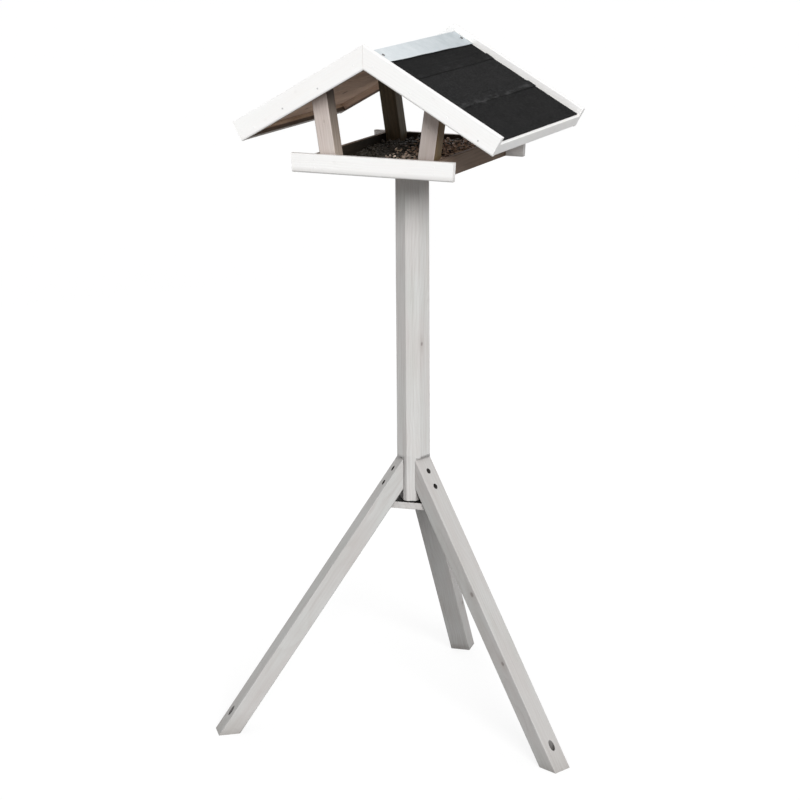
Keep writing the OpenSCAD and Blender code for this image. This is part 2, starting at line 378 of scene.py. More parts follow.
def ripple(point: Vector, length: float, seed: float = 0.0) -> float:
    """A smooth wandering number between about -1 and 1, of the given wavelength in metres."""
    x, y, z = (value * 2 * math.pi / length for value in point)
    first = math.sin(x * 0.83 + seed * 1.7 + 1.3 * math.sin(y * 0.41 + seed))
    second = math.sin(y * 0.97 + seed * 2.3 + 0.9 * math.sin(z * 0.59 + x * 0.37))
    third = math.sin(z * 1.09 - seed * 0.9 + 1.1 * math.sin(x * 0.47 + y * 0.29))
    return (first + second + third) / 3


# ---------------- shader nodes


class Wiring:
    """Adds nodes to one tree and joins them."""

    def __init__(self, tree: Tree) -> None:
        """Keeps the tree that is being wired."""
        self.tree = tree

    @classmethod
    def material(cls, name: str) -> tuple[Wiring, Material]:
        """Starts a material, and gives its wiring and the material."""
        material = bpy.data.materials.new(name)
        material.use_nodes = True
        return cls(material.node_tree), material

    def surface(
        self, colour: Any, rough: Any, height: Any, relief: float, depth: float, **plain: float
    ) -> None:
        """Feeds the surface shader.

        Args:
            colour: Its base colour.
            rough: Its roughness.
            height: The height of its relief.
            relief: How strongly the relief shows.
            depth: How deep the relief is, in metres.
            plain: Numbers that are the same all over, by the name of their socket with _ for a space.
        """
        inputs = self.tree.nodes["Principled BSDF"].inputs
        self.feed(inputs["Base Color"], colour)
        self.feed(inputs["Roughness"], rough)
        bump = self.add("Bump", {"Height": height, "Strength": relief, "Distance": depth})
        self.feed(inputs["Normal"], bump.outputs[0])
        for socket, value in plain.items():
            inputs[socket.replace("_", " ")].default_value = value

    def seen(self) -> Socket:
        """One for rays from the camera, from gloss and through glass, and nought for light that falls."""
        path = self.add("LightPath")
        seen = self.maths("MAXIMUM", path.outputs["Is Camera Ray"], path.outputs["Is Glossy Ray"])
        return self.maths("MAXIMUM", seen, path.outputs["Is Transmission Ray"])

    def reach(self, direction: Vector) -> Socket:
        """How far a place on the piece reaches in a direction."""
        return self.along(self.add("TexCoord").outputs["Object"], direction)

    def grimed_and_shaded(self, at: Socket, colour: Any, dirt_and_shade: Colour, reach: float, amount: float) -> Socket:
        """A colour with dirt and painted shade in the piece's corners."""
        mask = self.group(Effects.grime(), {"Vector": at, "Reach": reach, "Amount": amount})[0]
        return self.blend(mask, colour, dirt_and_shade)

    def grain(self, at: Socket, spacing: float, heart: float, wander: float) -> Any:
        """The grain of a board, by its rings' spacing, how far off its heart is and how they wander."""
        inputs = {"Vector": at, "Ring spacing": spacing, "Heart offset": heart, "Wander": wander}
        return self.group(Effects.timber_grain(), inputs)

    def rubbed(self, at: Socket, width: float, amount: float) -> Socket:
        """Where arrises are rubbed thin."""
        return self.group(Effects.edge_wear(), {"Vector": at, "Width": width, "Amount": amount})[0]

    def feed(self, socket: Socket, value: Any) -> None:
        """Links a socket to another, or sets it to a number, a vector or a colour."""
        if isinstance(value, Socket):
            self.tree.links.new(value, socket)
        elif socket.type == "RGBA" and len(value) == 3:
            socket.default_value = (*value, 1.0)
        else:
            socket.default_value = value

    def add(self, kind: str, inputs: dict[str | int, Any] | None = None, **settings: Any) -> bpy.types.Node:
        """Adds a node.

        Args:
            kind: Its type, without the leading ShaderNode.
            inputs: What its sockets are fed, by name or number.
            settings: Its other settings.

        Returns:
            The node.
        """
        node = self.tree.nodes.new("ShaderNode" + kind)
        for key, value in settings.items():
            setattr(node, key, value)
        for key, value in (inputs or {}).items():
            self.feed(node.inputs[key], value)
        return node

    def maths(self, how: str, first: Any, second: Any = 0.0) -> Socket:
        """Combines two numbers."""
        return self.add("Math", {0: first, 1: second}, operation=how).outputs[0]

    def times(self, first: Any, second: Any) -> Socket:
        """Multiplies two numbers."""
        return self.maths("MULTIPLY", first, second)

    def plus(self, first: Any, second: Any) -> Socket:
        """Adds two numbers."""
        return self.maths("ADD", first, second)

    def vectors(self, how: str, first: Any, second: Any = ORIGIN, result: str | int = 0) -> Socket:
        """Combines two vectors."""
        return self.add("VectorMath", {0: first, 1: second}, operation=how).outputs[result]

    def span(self, value: Any, low: float, high: float, start: float = 0.0, stop: float = 1.0) -> Socket:
        """Maps a number from one range to another, and clamps it."""
        inputs = {"Value": value, "From Min": low, "From Max": high, "To Min": start, "To Max": stop}
        return self.add("MapRange", inputs).outputs[0]

    def blend(self, factor: Any, first: Any, second: Any, how: str = "MIX") -> Socket:
        """Mixes two colours."""
        node = self.add("Mix", {0: factor}, data_type="RGBA", blend_type=how)
        self.feed(node.inputs[6], first)
        self.feed(node.inputs[7], second)
        return node.outputs[2]

    def stretch(self, vector: Any, scale: Sequence[float]) -> Socket:
        """Scales a vector along its own axes."""
        return self.vectors("MULTIPLY", vector, scale)

    def along(self, vector: Any, direction: Any) -> Socket:
        """How far a vector reaches in a direction."""
        return self.vectors("DOT_PRODUCT", vector, direction, "Value")

    def noise(self, vector: Any, scale: float, detail: float = 2.0, rough: float = 0.5) -> Socket:
        """Fractal noise of the given scale, between 0 and 1."""
        inputs = {"Vector": vector, "Scale": scale, "Detail": detail, "Roughness": rough}
        return self.add("TexNoise", inputs).outputs[0]

    def place(self, turn: Matrix | None = None, shift: Sequence[float] = ORIGIN) -> Socket:
        """The piece's own coordinates in metres, turned like the pattern and then shifted."""
        at = self.add("TexCoord").outputs["Object"]
        euler = (turn or Matrix.Identity(3)).to_euler("XYZ")
        return self.add("Mapping", {"Vector": at, "Rotation": euler, "Location": shift}).outputs[0]

    def group(self, tree: Tree, inputs: dict[str, Any]) -> Any:
        """Places a node group with its own values, and gives what comes out of it."""
        node = self.tree.nodes.new("ShaderNodeGroup")
        node.node_tree = tree
        for key, value in inputs.items():
            self.feed(node.inputs[key], value)
        return node.outputs


class Effects:
    """Shader node groups that more than one finish uses, each built once."""

    @staticmethod
    def begin(name: str, inputs: dict[str, Any], outputs: Sequence[str]) -> tuple[Wiring, Any, Any]:
        """Starts a group with named inputs and outputs.

        Args:
            name: Name of the group.
            inputs: Its inputs and their usual values; a tuple makes a vector.
            outputs: Its outputs, all plain values.

        Returns:
            The wiring, what the group is given and what it gives out.
        """
        tree = bpy.data.node_groups.new(name, "ShaderNodeTree")
        for key, value in inputs.items():
            kind = "NodeSocketVector" if isinstance(value, tuple) else "NodeSocketFloat"
            socket = tree.interface.new_socket(key, in_out="INPUT", socket_type=kind)
            socket.default_value = value
        for key in outputs:
            tree.interface.new_socket(key, in_out="OUTPUT", socket_type="NodeSocketFloat")
        given, out = tree.nodes.new("NodeGroupInput"), tree.nodes.new("NodeGroupOutput")
        return Wiring(tree), given.outputs, out.inputs

    @staticmethod
    @cache
    def timber_grain() -> Tree:
        """Fibres, growth rings and slow blotches of a board whose grain runs along X."""
        inputs = {"Vector": ORIGIN, "Ring spacing": 0.006, "Heart offset": 0.06, "Wander": 1.0}
        wire, given, out = Effects.begin("Timber grain", inputs, ("Fibre", "Ring", "Blotch", "Pore"))
        at = given["Vector"]
        fibre = wire.noise(wire.stretch(at, (7.0, 210.0, 210.0)), 1.0, 5.0, 0.62)
        pore = wire.noise(wire.stretch(at, (45.0, 1500.0, 1500.0)), 1.0, 2.0, 0.5)
        bend = wire.noise(wire.stretch(at, (5.0, 16.0, 16.0)), 1.0, 2.0, 0.45)
        split = wire.add("SeparateXYZ", {0: at})
        across = wire.plus(split.outputs[1], given["Heart offset"])
        swing = wire.times(wire.maths("SUBTRACT", bend, 0.5), given["Wander"])
        through = wire.maths("POWER", split.outputs[2], 2.0)
        flat = wire.plus(wire.times(across, across), through)
        reach = wire.plus(wire.maths("SQRT", flat), wire.times(swing, 0.06))
        turns = wire.maths("DIVIDE", reach, given["Ring spacing"])
        saw = wire.maths("FRACT", turns)
        rise = wire.span(saw, 0.0, 0.72, 0.0, 1.0)
        fall = wire.span(saw, 0.86, 1.0, 1.0, 0.0)
        ring = wire.times(wire.maths("POWER", rise, 2.2), fall)
        wire.feed(out["Fibre"], fibre)
        wire.feed(out["Ring"], ring)
        wire.feed(out["Blotch"], wire.noise(wire.stretch(at, (7.0, 22.0, 22.0)), 1.0, 2.0, 0.5))
        wire.feed(out["Pore"], pore)
        return wire.tree

    @staticmethod
    @cache
    def edge_wear() -> Tree:
        """A broken line along outer arrises, where the finish is rubbed thin."""
        inputs = {"Vector": ORIGIN, "Width": 0.0015, "Amount": 0.5}
        wire, given, out = Effects.begin("Edge wear", inputs, ("Mask",))
        soft = wire.add("Bevel", {"Radius": given["Width"]}, samples=6).outputs[0]
        true = wire.add("NewGeometry").outputs["Normal"]
        edge = wire.span(wire.maths("SUBTRACT", 1.0, wire.along(soft, true)), 0.02, 0.16)
        broken = wire.span(wire.noise(given["Vector"], 70.0, 4.0, 0.65), 0.42, 0.62)
        mask = wire.times(wire.times(edge, broken), given["Amount"])
        wire.feed(out["Mask"], mask)
        return wire.tree

    @staticmethod
    @cache
    def grime() -> Tree:
        """Dirt in corners and joints, and painted shade there: the colour darkens where ambient occlusion
        finds the surface hemmed in.
        """
        inputs = {"Vector": ORIGIN, "Reach": 0.02, "Amount": 0.5}
        wire, given, out = Effects.begin("Grime", inputs, ("Mask",))
        hole_shade_colour = wire.add("AmbientOcclusion", {"Distance": given["Reach"]}, samples=8).outputs["AO"]
        deep = wire.span(wire.maths("SUBTRACT", 1.0, hole_shade_colour), 0.12, 0.75)
        patchy = wire.span(wire.noise(given["Vector"], 38.0, 4.0, 0.6), 0.25, 0.7, 0.35, 1.0)
        mask = wire.times(wire.times(deep, patchy), given["Amount"])
        wire.feed(out["Mask"], mask)
        return wire.tree

    @staticmethod
    @cache
    def knot() -> Tree:
        """One knot at a given place, with the stain round it."""
        inputs = {"Vector": ORIGIN, "Centre": ORIGIN, "Radius": 0.006}
        wire, given, out = Effects.begin("Knot", inputs, ("Core", "Stain"))
        at = given["Vector"]
        away = wire.vectors("SUBTRACT", at, given["Centre"])
        rag = wire.times(wire.noise(at, 160.0, 3.0, 0.6), 0.5)
        for name, squeeze, start, stop in (("Core", 0.72, 0.75, 1.15), ("Stain", 0.34, 0.9, 2.6)):
            far = wire.vectors("LENGTH", wire.stretch(away, (squeeze, 1.0, 1.0)), result="Value")
            ratio = wire.plus(wire.maths("DIVIDE", far, given["Radius"]), rag)
            wire.feed(out[name], wire.span(ratio, start, stop, 1.0, 0.0))
        return wire.tree

    @staticmethod
    @cache
    def speckle() -> Tree:
        """Close-set grains of differing brightness, such as slate granules or seed dust."""
        inputs = {"Vector": ORIGIN, "Grain size": 0.0015}
        wire, given, out = Effects.begin("Speckle", inputs, ("Tone", "Height"))
        scale = wire.maths("DIVIDE", 1.0, given["Grain size"])
        vector = {"Vector": given["Vector"], "Scale": scale}
        cells = wire.add("TexVoronoi", vector, feature="F1")
        tone = wire.add("SeparateColor", {0: cells.outputs["Color"]}).outputs[0]
        wire.feed(out["Tone"], tone)
        wire.feed(out["Height"], wire.span(cells.outputs["Distance"], 0.0, 0.7, 1.0, 0.0))
        return wire.tree


@dataclass(frozen=True)
class Knot:
    """A knot in a board, by its place in the frame and its radius, in metres."""

    centre: Sequence[float]
    radius: float

    def place(self, wire: Wiring, at: Socket, turn: Matrix, label: str) -> Any:
        """Places the knot in the finish of the board that the label names, turned like its grain."""
        centre = turn @ Vector(self.centre) + Vector((0.0, random_shift(label), 0.0))
        return wire.group(Effects.knot(), {"Vector": at, "Centre": centre, "Radius": self.radius})


@dataclass(frozen=True)
class Fade:
    """A change along a direction, from nothing at one distance to the whole at another, in metres."""

    direction: Vector
    start: float
    stop: float

    def mask(self, wire: Wiring, uneven: Socket | None = None) -> Socket:
        """Nought before the change and one after it; uneven is added to the distance."""
        place = wire.reach(self.direction)
        return wire.span(wire.plus(place, uneven) if uneven else place, self.start, self.stop)


@dataclass(frozen=True)
class HoleShade:
    """Painted shade in a hole, by a place on its axis, the axis and how far from it the shade reaches, in
    metres.
    """

    centre: Vector
    axis: Vector
    radius: float
    strength: float = 0.96
    rim: float = 0.0004

    def mask(self, wire: Wiring) -> Socket:
        """One in the hole and on its rim, and nought elsewhere."""
        away = wire.vectors("SUBTRACT", wire.add("TexCoord").outputs["Object"], self.centre)
        square = wire.vectors("CROSS_PRODUCT", away, self.axis.normalized())
        far = wire.vectors("LENGTH", square, result="Value")
        return wire.span(far, self.radius - self.rim, self.radius + self.rim, self.strength, 0.0)


def grain_turn(along: Vector, face: Vector) -> Matrix:
    """The rotation that takes a board's length to X and the way its broad face looks to Z."""
    length = along.normalized()
    broad = (face - length * face.dot(length)).normalized()
    return Matrix((length, broad.cross(length), broad))


@dataclass(frozen=True)
class CoatedTimber:
    """Softwood under a coat of paint or glaze, through which some of its grain shows."""

    name: str
    coat: Colour
    timber: Colour
    # Colour of knot cores, and of the dirt and painted shade in corners.
    dirt_and_shade: Colour
    grain_show: float = 0.06
    ring_show: float = 0.05
    ring_spacing: float = 0.0052
    relief: float = 0.5
    roughness: float = 0.55
    wear: float = 0.5
    grime: float = 0.5
    grime_reach: float = 0.022
    wear_width: float = 0.0016
    relief_depth: float = 0.0006
    gloss: float = 0.2
    tint: float = 0.3
    knot_show: float = 0.6
    # Colour of the painted shade in holes.
    hole_shade_colour: Colour = (0.012, 0.010, 0.009)
    darkening_tint: Colour = (0.72, 0.715, 0.705)
    pink: Colour = (0.90, 0.80, 0.79)
    green: Colour = (0.80, 0.85, 0.80)

    def shaded(self, tone: float) -> CoatedTimber:
        """The same finish with its coat lighter or darker by a factor, for painted light and shade."""
        return replace(self, coat=tuple(channel * tone for channel in self.coat))

    def on(
        self,
        label: str,
        along: Vector,
        face: Vector,
        knots: Sequence[Knot] = (),
        hole_shades: Sequence[HoleShade] = (),
        bare: BareAndShadedFace | None = None,
        darkening: Fade | None = None,
    ) -> Material:
        """Makes the finish for a board.

        Args:
            label: Added to the finish's name.
            along: Direction of the board's grain.
            face: The way its broad face looks.
            knots: Its knots.
            hole_shades: The painted shade in its holes.
            bare: A face that was left without a coat, with its painted shade.
            darkening: Where the coat grows darker.

        Returns:
            The material.
        """
        wire, material = Wiring.material(f"{self.name} {label}")
        turn = grain_turn(along, face)
        at = wire.place(turn, (0.0, random_shift(label), 0.0))
        grain = wire.grain(at, self.ring_spacing, 0.045, 0.7)
        fibre = wire.span(grain["Fibre"], 0.34, 0.7)
        colour: Any = self.coat
        drift = wire.span(grain["Blotch"], 0.34, 0.66)
        colour = wire.blend(wire.times(drift, self.tint), colour, self.pink, "MULTIPLY")
        cool = wire.span(wire.noise(wire.stretch(at, (6.0, 30.0, 30.0)), 1.0, 1.0), 0.5, 0.75)
        colour = wire.blend(wire.times(cool, self.tint * 0.7), colour, self.green, "MULTIPLY")
        streak = wire.times(wire.maths("POWER", fibre, 2.0), self.grain_show)
        colour = wire.blend(streak, colour, self.timber)
        ring = wire.times(grain["Ring"], self.ring_show)
        colour = wire.blend(ring, colour, self.timber)
        height: Any = wire.times(grain["Ring"], -0.35)
        height = wire.plus(height, wire.times(grain["Fibre"], -0.8))
        for knot in knots:
            spot = knot.place(wire, at, turn, label)
            halo = wire.times(spot["Stain"], self.knot_show * 0.5)
            colour = wire.blend(halo, colour, self.timber)
            core = wire.times(spot["Core"], self.knot_show)
            colour = wire.blend(core, colour, self.dirt_and_shade)
            height = wire.maths("SUBTRACT", height, wire.times(spot["Core"], 0.6))
        colour = wire.grimed_and_shaded(at, colour, self.dirt_and_shade, self.grime_reach, self.grime)
        rub = wire.rubbed(at, self.wear_width, self.wear)
        colour = wire.blend(rub, colour, self.timber)
        # The coat grows darker along a fade; on the tray boards and the corner posts this is painted shade.
        if darkening:
            colour = wire.blend(darkening.mask(wire), colour, self.darkening_tint, "MULTIPLY")
        # Bare timber on one face, with its painted shade.
        if bare:
            colour = wire.blend(bare.mask(wire), colour, bare.colour(wire, grain))
        # Painted shade in the holes: their walls and rims are coloured nearly black.
        for hole_shade in hole_shades:
            colour = wire.blend(hole_shade.mask(wire), colour, self.hole_shade_colour)
        rough = wire.plus(wire.span(grain["Blotch"], 0.3, 0.7, -0.07, 0.07), self.roughness)
        rough = wire.plus(rough, wire.times(rub, 0.15))
        wire.surface(colour, rough, height, self.relief, self.relief_depth, Specular_IOR_Level=self.gloss)
        return material


@dataclass(frozen=True)
class BareAndShadedFace:
    """The part of a board's surface that looks one way and was left without a coat; where it lies in shade
    its tones are made darker, as painted shade.

    Each limit is a direction and a distance: the surface is bare only where its place lies short of the
    distance. The painted shade says where the timber is painted darker, standing in for the shade that falls
    there.
    Within is the cosine of the widest angle at which a face still counts as looking that way.
    """

    looks: Vector
    tone: Colour
    dark: Colour
    limits: tuple[tuple[Vector, float], ...] = ()
    painted_shade: Fade | None = None
    within: float = 0.55
    soft: float = 0.08
    rim: float = 0.0006
    shade_dark: Colour = (0.02, 0.013, 0.009)
    shade_strength: float = 0.85
    wander: float = 0.0012

    def mask(self, wire: Wiring) -> Socket:
        """One on the bare part, and nought elsewhere."""
        facing = wire.along(wire.add("TexCoord").outputs["Normal"], self.looks)
        mask = wire.span(facing, self.within - self.soft, self.within + self.soft)
        for direction, limit in self.limits:
            short = wire.span(wire.reach(direction), limit - self.rim, limit + self.rim, 1.0, 0.0)
            mask = wire.times(mask, short)
        return mask

    def colour(self, wire: Wiring, grain: Any) -> Socket:
        """The bare timber's colour, with the painted shade laid over it where that is given."""
        colour = wire.blend(wire.span(grain["Fibre"], 0.3, 0.7), self.tone, self.dark)
        # Painted shade: darker towards one side of the face, standing in for the shade that falls there.
        if self.painted_shade:
            patchy = wire.span(grain["Blotch"], 0.3, 0.7, -1.0, 1.0)
            uneven = wire.times(patchy, self.wander)
            shade_dark = wire.times(self.painted_shade.mask(wire, uneven), self.shade_strength)
            colour = wire.blend(shade_dark, colour, self.shade_dark)
        return colour


@dataclass(frozen=True)
class BareTimber:
    """Softwood without a coat, grown brown with age and damp."""

    name: str
    light: Colour
    dark: Colour
    # Colour of blotches and knots, and of the dirt and painted shade in corners.
    stain: Colour
    relief: float = 0.8
    relief_depth: float = 0.0006
    roughness: Pair = (0.7, 0.92)
    gloss: float = 0.12
    ring_spacing: float = 0.0065
    grime: float = 0.6
    grime_reach: float = 0.03

    def on(self, label: str, along: Vector, face: Vector, knots: Sequence[Knot] = ()) -> Material:
        """Makes the finish for a board; the arguments are those of a coated one."""
        wire, material = Wiring.material(f"{self.name} {label}")
        turn = grain_turn(along, face)
        at = wire.place(turn, (0.0, random_shift(label), 0.0))
        grain = wire.grain(at, self.ring_spacing, 0.05, 1.0)
        colour = wire.blend(wire.times(grain["Ring"], 0.75), self.light, self.dark)
        colour = wire.blend(wire.span(grain["Fibre"], 0.42, 0.75, 0.0, 0.6), colour, self.dark)
        colour = wire.blend(wire.span(grain["Blotch"], 0.5, 0.8, 0.0, 0.55), colour, self.stain)
        late_wood = wire.times(grain["Ring"], 0.5)
        height = wire.maths("SUBTRACT", late_wood, grain["Fibre"])
        for knot in knots:
            spot = knot.place(wire, at, turn, label)
            colour = wire.blend(wire.times(spot["Stain"], 0.5), colour, self.dark)
            colour = wire.blend(wire.times(spot["Core"], 0.85), colour, self.stain)
            height = wire.maths("SUBTRACT", height, wire.times(spot["Core"], 0.5))
        colour = wire.grimed_and_shaded(at, colour, self.stain, self.grime_reach, self.grime)
        rough = wire.span(grain["Fibre"], 0.3, 0.7, *self.roughness)
        wire.surface(colour, rough, height, self.relief, self.relief_depth, Specular_IOR_Level=self.gloss)
        return material


@dataclass(frozen=True)
class Felt:
    """Bitumen roofing felt with a face of slate granules, paler where it is worn along a lap."""

    base: Colour = (0.0076, 0.0076, 0.0078)
    granule: Colour = (0.0245, 0.0245, 0.025)
    worn: Colour = (0.056, 0.056, 0.057)
    # Colour of the dirt and painted shade in the felt's corners and under its laps.
    edge: Colour = (0.003, 0.003, 0.0032)
    coarse_grain: float = 0.0022
    fine_grain: float = 0.0010
    ragged: float = 0.010
    band: Pair = (0.002, 0.008)
    grime: float = 0.25
    grime_reach: float = 0.010
    roughness: Pair = (0.78, 0.95)
    relief: float = 0.8
    relief_depth: float = 0.0007
    gloss: float = 0.08

    def on(self, label: str, slope: Slope, laps: dict[float, float], shade: float = 1.0) -> Material:
        """Makes the finish for one course.

        Args:
            label: Added to the finish's name.
            slope: The slope that the course lies on.
            laps: Distances from the ridge at which the felt is worn, and how much.
            shade: How much lighter the course is than the others.

        Returns:
            The material.
        """
        wire, material = Wiring.material(f"Roofing felt {label}")
        back = slope.place.to_3x3().transposed()
        shift = -(back @ Vector((0, 0, slope.apex)))
        at = wire.place(back, shift)
        grit = wire.group(Effects.speckle(), {"Vector": at, "Grain size": self.coarse_grain})
        fine = wire.group(Effects.speckle(), {"Vector": at, "Grain size": self.fine_grain})
        patch = wire.span(wire.noise(wire.stretch(at, (26.0, 9.0, 20.0)), 1.0, 5.0, 0.6), 0.36, 0.68)
        bright = wire.maths("POWER", grit["Tone"], 2.0)
        tone = wire.times(bright, wire.plus(patch, 0.35))
        colour = wire.blend(tone, self.base, self.granule)
        colour = wire.blend(wire.span(fine["Tone"], 0.82, 1.0, 0.0, 0.5), colour, self.granule)
        down = wire.add("SeparateXYZ", {0: at}).outputs[0]
        ragged = wire.span(wire.noise(wire.stretch(at, (3.0, 30.0, 3.0)), 1.0, 4.0), 0.3, 0.7)
        ragged = wire.times(ragged, self.ragged)
        broken = wire.span(wire.noise(wire.stretch(at, (55.0, 24.0, 20.0)), 1.0, 5.0, 0.7), 0.45, 0.64)
        for lap, amount in laps.items():
            gap = wire.maths("ABSOLUTE", wire.maths("SUBTRACT", wire.plus(down, ragged), lap))
            band = wire.times(wire.span(gap, *self.band, 1.0, 0.0), broken)
            colour = wire.blend(wire.times(band, amount), colour, self.worn)
        colour = wire.blend(1.0, colour, (shade, shade, shade), "MULTIPLY")
        colour = wire.grimed_and_shaded(at, colour, self.edge, self.grime_reach, self.grime)
        rough = wire.span(patch, 0.0, 1.0, *self.roughness)
        small = wire.times(fine["Height"], 0.5)
        height = wire.plus(grit["Height"], small)
        wire.surface(colour, rough, height, self.relief, self.relief_depth, Specular_IOR_Level=self.gloss)
        return material


@dataclass(frozen=True)
class SheetMetal:
    """Bare metal with rolling marks, dull patches and scratches."""

    name: str
    bright: Colour
    dull: Colour
    # Colour of stain spots, and of the dirt and painted shade in corners.
    stain: Colour
    roughness: float = 0.38
    metallic: float = 0.85
    grime: float = 0.35
    grime_reach: float = 0.008
    wear: float = 0.8
    wear_width: float = 0.0016
    relief: float = 0.25
    relief_depth: float = 0.0003
    darkened_tint: Colour = (0.74, 0.76, 0.77)

    def on(self, label: str, along: Vector, face: Vector, darkened_towards: Fade | None = None) -> Material:
        """Makes the finish for a sheet rolled along one direction, or for a fixing.

        Args:
            label: Added to the finish's name.
            along: The way the sheet was rolled.
            face: The way its broad face looks.
            darkened_towards: Where the metal grows darker.

        Returns:
            The material.
        """
        wire, material = Wiring.material(f"{self.name} {label}")
        at = wire.place(grain_turn(along, face))
        rolled = wire.noise(wire.stretch(at, (9.0, 900.0, 900.0)), 1.0, 3.0, 0.6)
        cloud = wire.noise(at, 28.0, 4.0, 0.6)
        scratch = wire.span(wire.noise(wire.stretch(at, (160.0, 900.0, 160.0)), 1.0, 2.0), 0.68, 0.74)
        colour = wire.blend(wire.span(cloud, 0.36, 0.66), self.bright, self.dull)
        spots = wire.span(wire.noise(at, 190.0, 3.0, 0.7), 0.62, 0.72, 0.0, 0.5)
        colour = wire.blend(spots, colour, self.stain)
        if darkened_towards:
            colour = wire.blend(darkened_towards.mask(wire), colour, self.darkened_tint, "MULTIPLY")
        colour = wire.grimed_and_shaded(at, colour, self.stain, self.grime_reach, self.grime)
        rub = wire.rubbed(at, self.wear_width, self.wear)
        colour = wire.blend(rub, colour, self.bright)
        rough = wire.plus(wire.span(cloud, 0.3, 0.7, -0.08, 0.12), self.roughness)
        rough = wire.maths("SUBTRACT", rough, wire.times(scratch, 0.12))
        height = wire.plus(rolled, wire.times(scratch, -0.5))
        wire.surface(colour, rough, height, self.relief, self.relief_depth, Metallic=self.metallic)
        return material


def random_shift(label: str) -> float:
    """A steady number for a label, so that no two boards show the same grain."""
    return (sum((index + 3) * ord(letter) for index, letter in enumerate(label)) % 97) * 0.13


# ---------------- finishes of this feeder

WHITE_PAINT = CoatedTimber(
    name="White paint",
    coat=(0.93, 0.93, 0.922),
    timber=(0.82, 0.70, 0.62),
    dirt_and_shade=(0.42, 0.36, 0.31),
    grain_show=0.08,
    ring_show=0.02,
    knot_show=0.05,
    relief=0.35,
    roughness=0.5,
    wear=0.3,
    grime=0.4,
    tint=0.07,
)
STAND_GLAZE = CoatedTimber(
    name="Grey glaze",
    coat=(0.60, 0.603, 0.592),
    timber=(0.36, 0.32, 0.30),
    dirt_and_shade=(0.16, 0.13, 0.12),
    grain_show=0.36,
    ring_show=0.13,
    relief=0.7,
    roughness=0.62,
    wear=0.35,
    grime=0.5,
    tint=0.34,
    darkening_tint=(0.86, 0.85, 0.84),
)
CORNER_GLAZE = CoatedTimber(
    name="Corner post glaze",
    coat=(0.64, 0.585, 0.55),
    timber=(0.42, 0.34, 0.29),
    dirt_and_shade=(0.10, 0.075, 0.055),
    grain_show=0.4,
    ring_show=0.16,
    knot_show=0.12,
    relief=0.7,
    roughness=0.62,
    wear=0.3,
    grime=0.7,
    tint=0.3,
    darkening_tint=(0.66, 0.65, 0.65),
)
SIDE_BOARD_GLAZE = CoatedTimber(
    name="Side board stain",
    coat=(0.22, 0.162, 0.12),
    timber=(0.12, 0.082, 0.058),
    dirt_and_shade=(0.035, 0.024, 0.018),
    grain_show=0.5,
    ring_show=0.22,
    relief=0.7,
    roughness=0.65,
    wear=0.2,
    grime=0.7,
    tint=0.2,
)
ROOF_TIMBER = BareTimber(
    name="Roof softwood", light=(0.70, 0.51, 0.39), dark=(0.50, 0.34, 0.25), stain=(0.22, 0.14, 0.10)
)
OLD_TIMBER = BareTimber(
    name="Bare softwood", light=(0.52, 0.38, 0.30), dark=(0.35, 0.23, 0.17), stain=(0.12, 0.075, 0.055)
)
# Bare timber inside the tray, coloured very dark as painted shade; the left side board darker still.
TRAY_BARE_SHADED: Tones = ((0.060, 0.042, 0.028), (0.024, 0.016, 0.010))
LEFT_SIDE_BARE_SHADED: Tones = ((0.024, 0.018, 0.011), (0.012, 0.009, 0.006))
# Bare timber under the roof, its tones set lighter than other bare timber to make up for the shade it lies
# in: painted light.
EAVE_BARE_LIT: Tones = ((0.90, 0.72, 0.55), (0.70, 0.53, 0.39))
BARGE_BARE_LIT: Tones = ((0.88, 0.70, 0.57), (0.68, 0.50, 0.39))
# Bare faces of the corner posts; the front right and back posts' tones are much darker, as painted shade
# under the roof.
FRONT_LEFT_POST_BARE: Tones = ((0.58, 0.50, 0.44), (0.40, 0.33, 0.27))
FRONT_RIGHT_POST_BARE_SHADED: Tones = ((0.18, 0.125, 0.062), (0.10, 0.068, 0.034))
BACK_POST_BARE_SHADED: Tones = ((0.150, 0.122, 0.080), (0.072, 0.058, 0.036))
PLATE_TOP_SHADE: Tones = ((0.012, 0.010, 0.009), (0.006, 0.005, 0.004))
ZINC = SheetMetal(
    name="Zinc sheet",
    bright=(0.73, 0.775, 0.80),
    dull=(0.67, 0.715, 0.74),
    stain=(0.42, 0.44, 0.44),
    roughness=0.42,
    metallic=0.75,
)
STEEL = SheetMetal(
    name="Plated steel",
    bright=(0.62, 0.62, 0.60),
    dull=(0.42, 0.42, 0.41),
    stain=(0.16, 0.12, 0.09),
    roughness=0.36,
    metallic=0.95,
    grime=0.8,
)
COATED_STEEL = SheetMetal(
    name="Painted steel",
    bright=(0.92, 0.92, 0.915),
    dull=(0.86, 0.86, 0.86),
    stain=(0.70, 0.68, 0.66),
    roughness=0.55,
    metallic=0.0,
    grime=0.3,
)
WORN_COATED_STEEL = replace(
    COATED_STEEL,
    name="Painted steel worn",
    bright=(0.62, 0.62, 0.62),
    dull=(0.48, 0.48, 0.48),
    stain=(0.30, 0.27, 0.25),
    grime=0.5,
)
RUSTED_STEEL = SheetMetal(
    name="Rusted steel",
    bright=(0.20, 0.19, 0.185),
    dull=(0.12, 0.11, 0.105),
    stain=(0.09, 0.06, 0.045),
    roughness=0.6,
    metallic=0.3,
    grime=0.8,
)
# Near-black steel for the screws deep in the leg counterbores: painted shade, standing in for the shadow
# there.
SHADED_SCREW_STEEL = SheetMetal(
    name="Blackened steel",
    bright=(0.060, 0.058, 0.055),
    dull=(0.035, 0.034, 0.032),
    stain=(0.03, 0.022, 0.016),
    roughness=0.5,
    metallic=0.5,
    grime=0.8,
)
ROOFING_FELT = Felt()


def flat_towards(direction: Vector, at: Vector) -> Matrix:
    """A place whose Z points in the given direction."""
    return Matrix.Translation(at) @ direction.to_track_quat("Z", "Y").to_matrix().to_4x4()


# ---------------- fixings


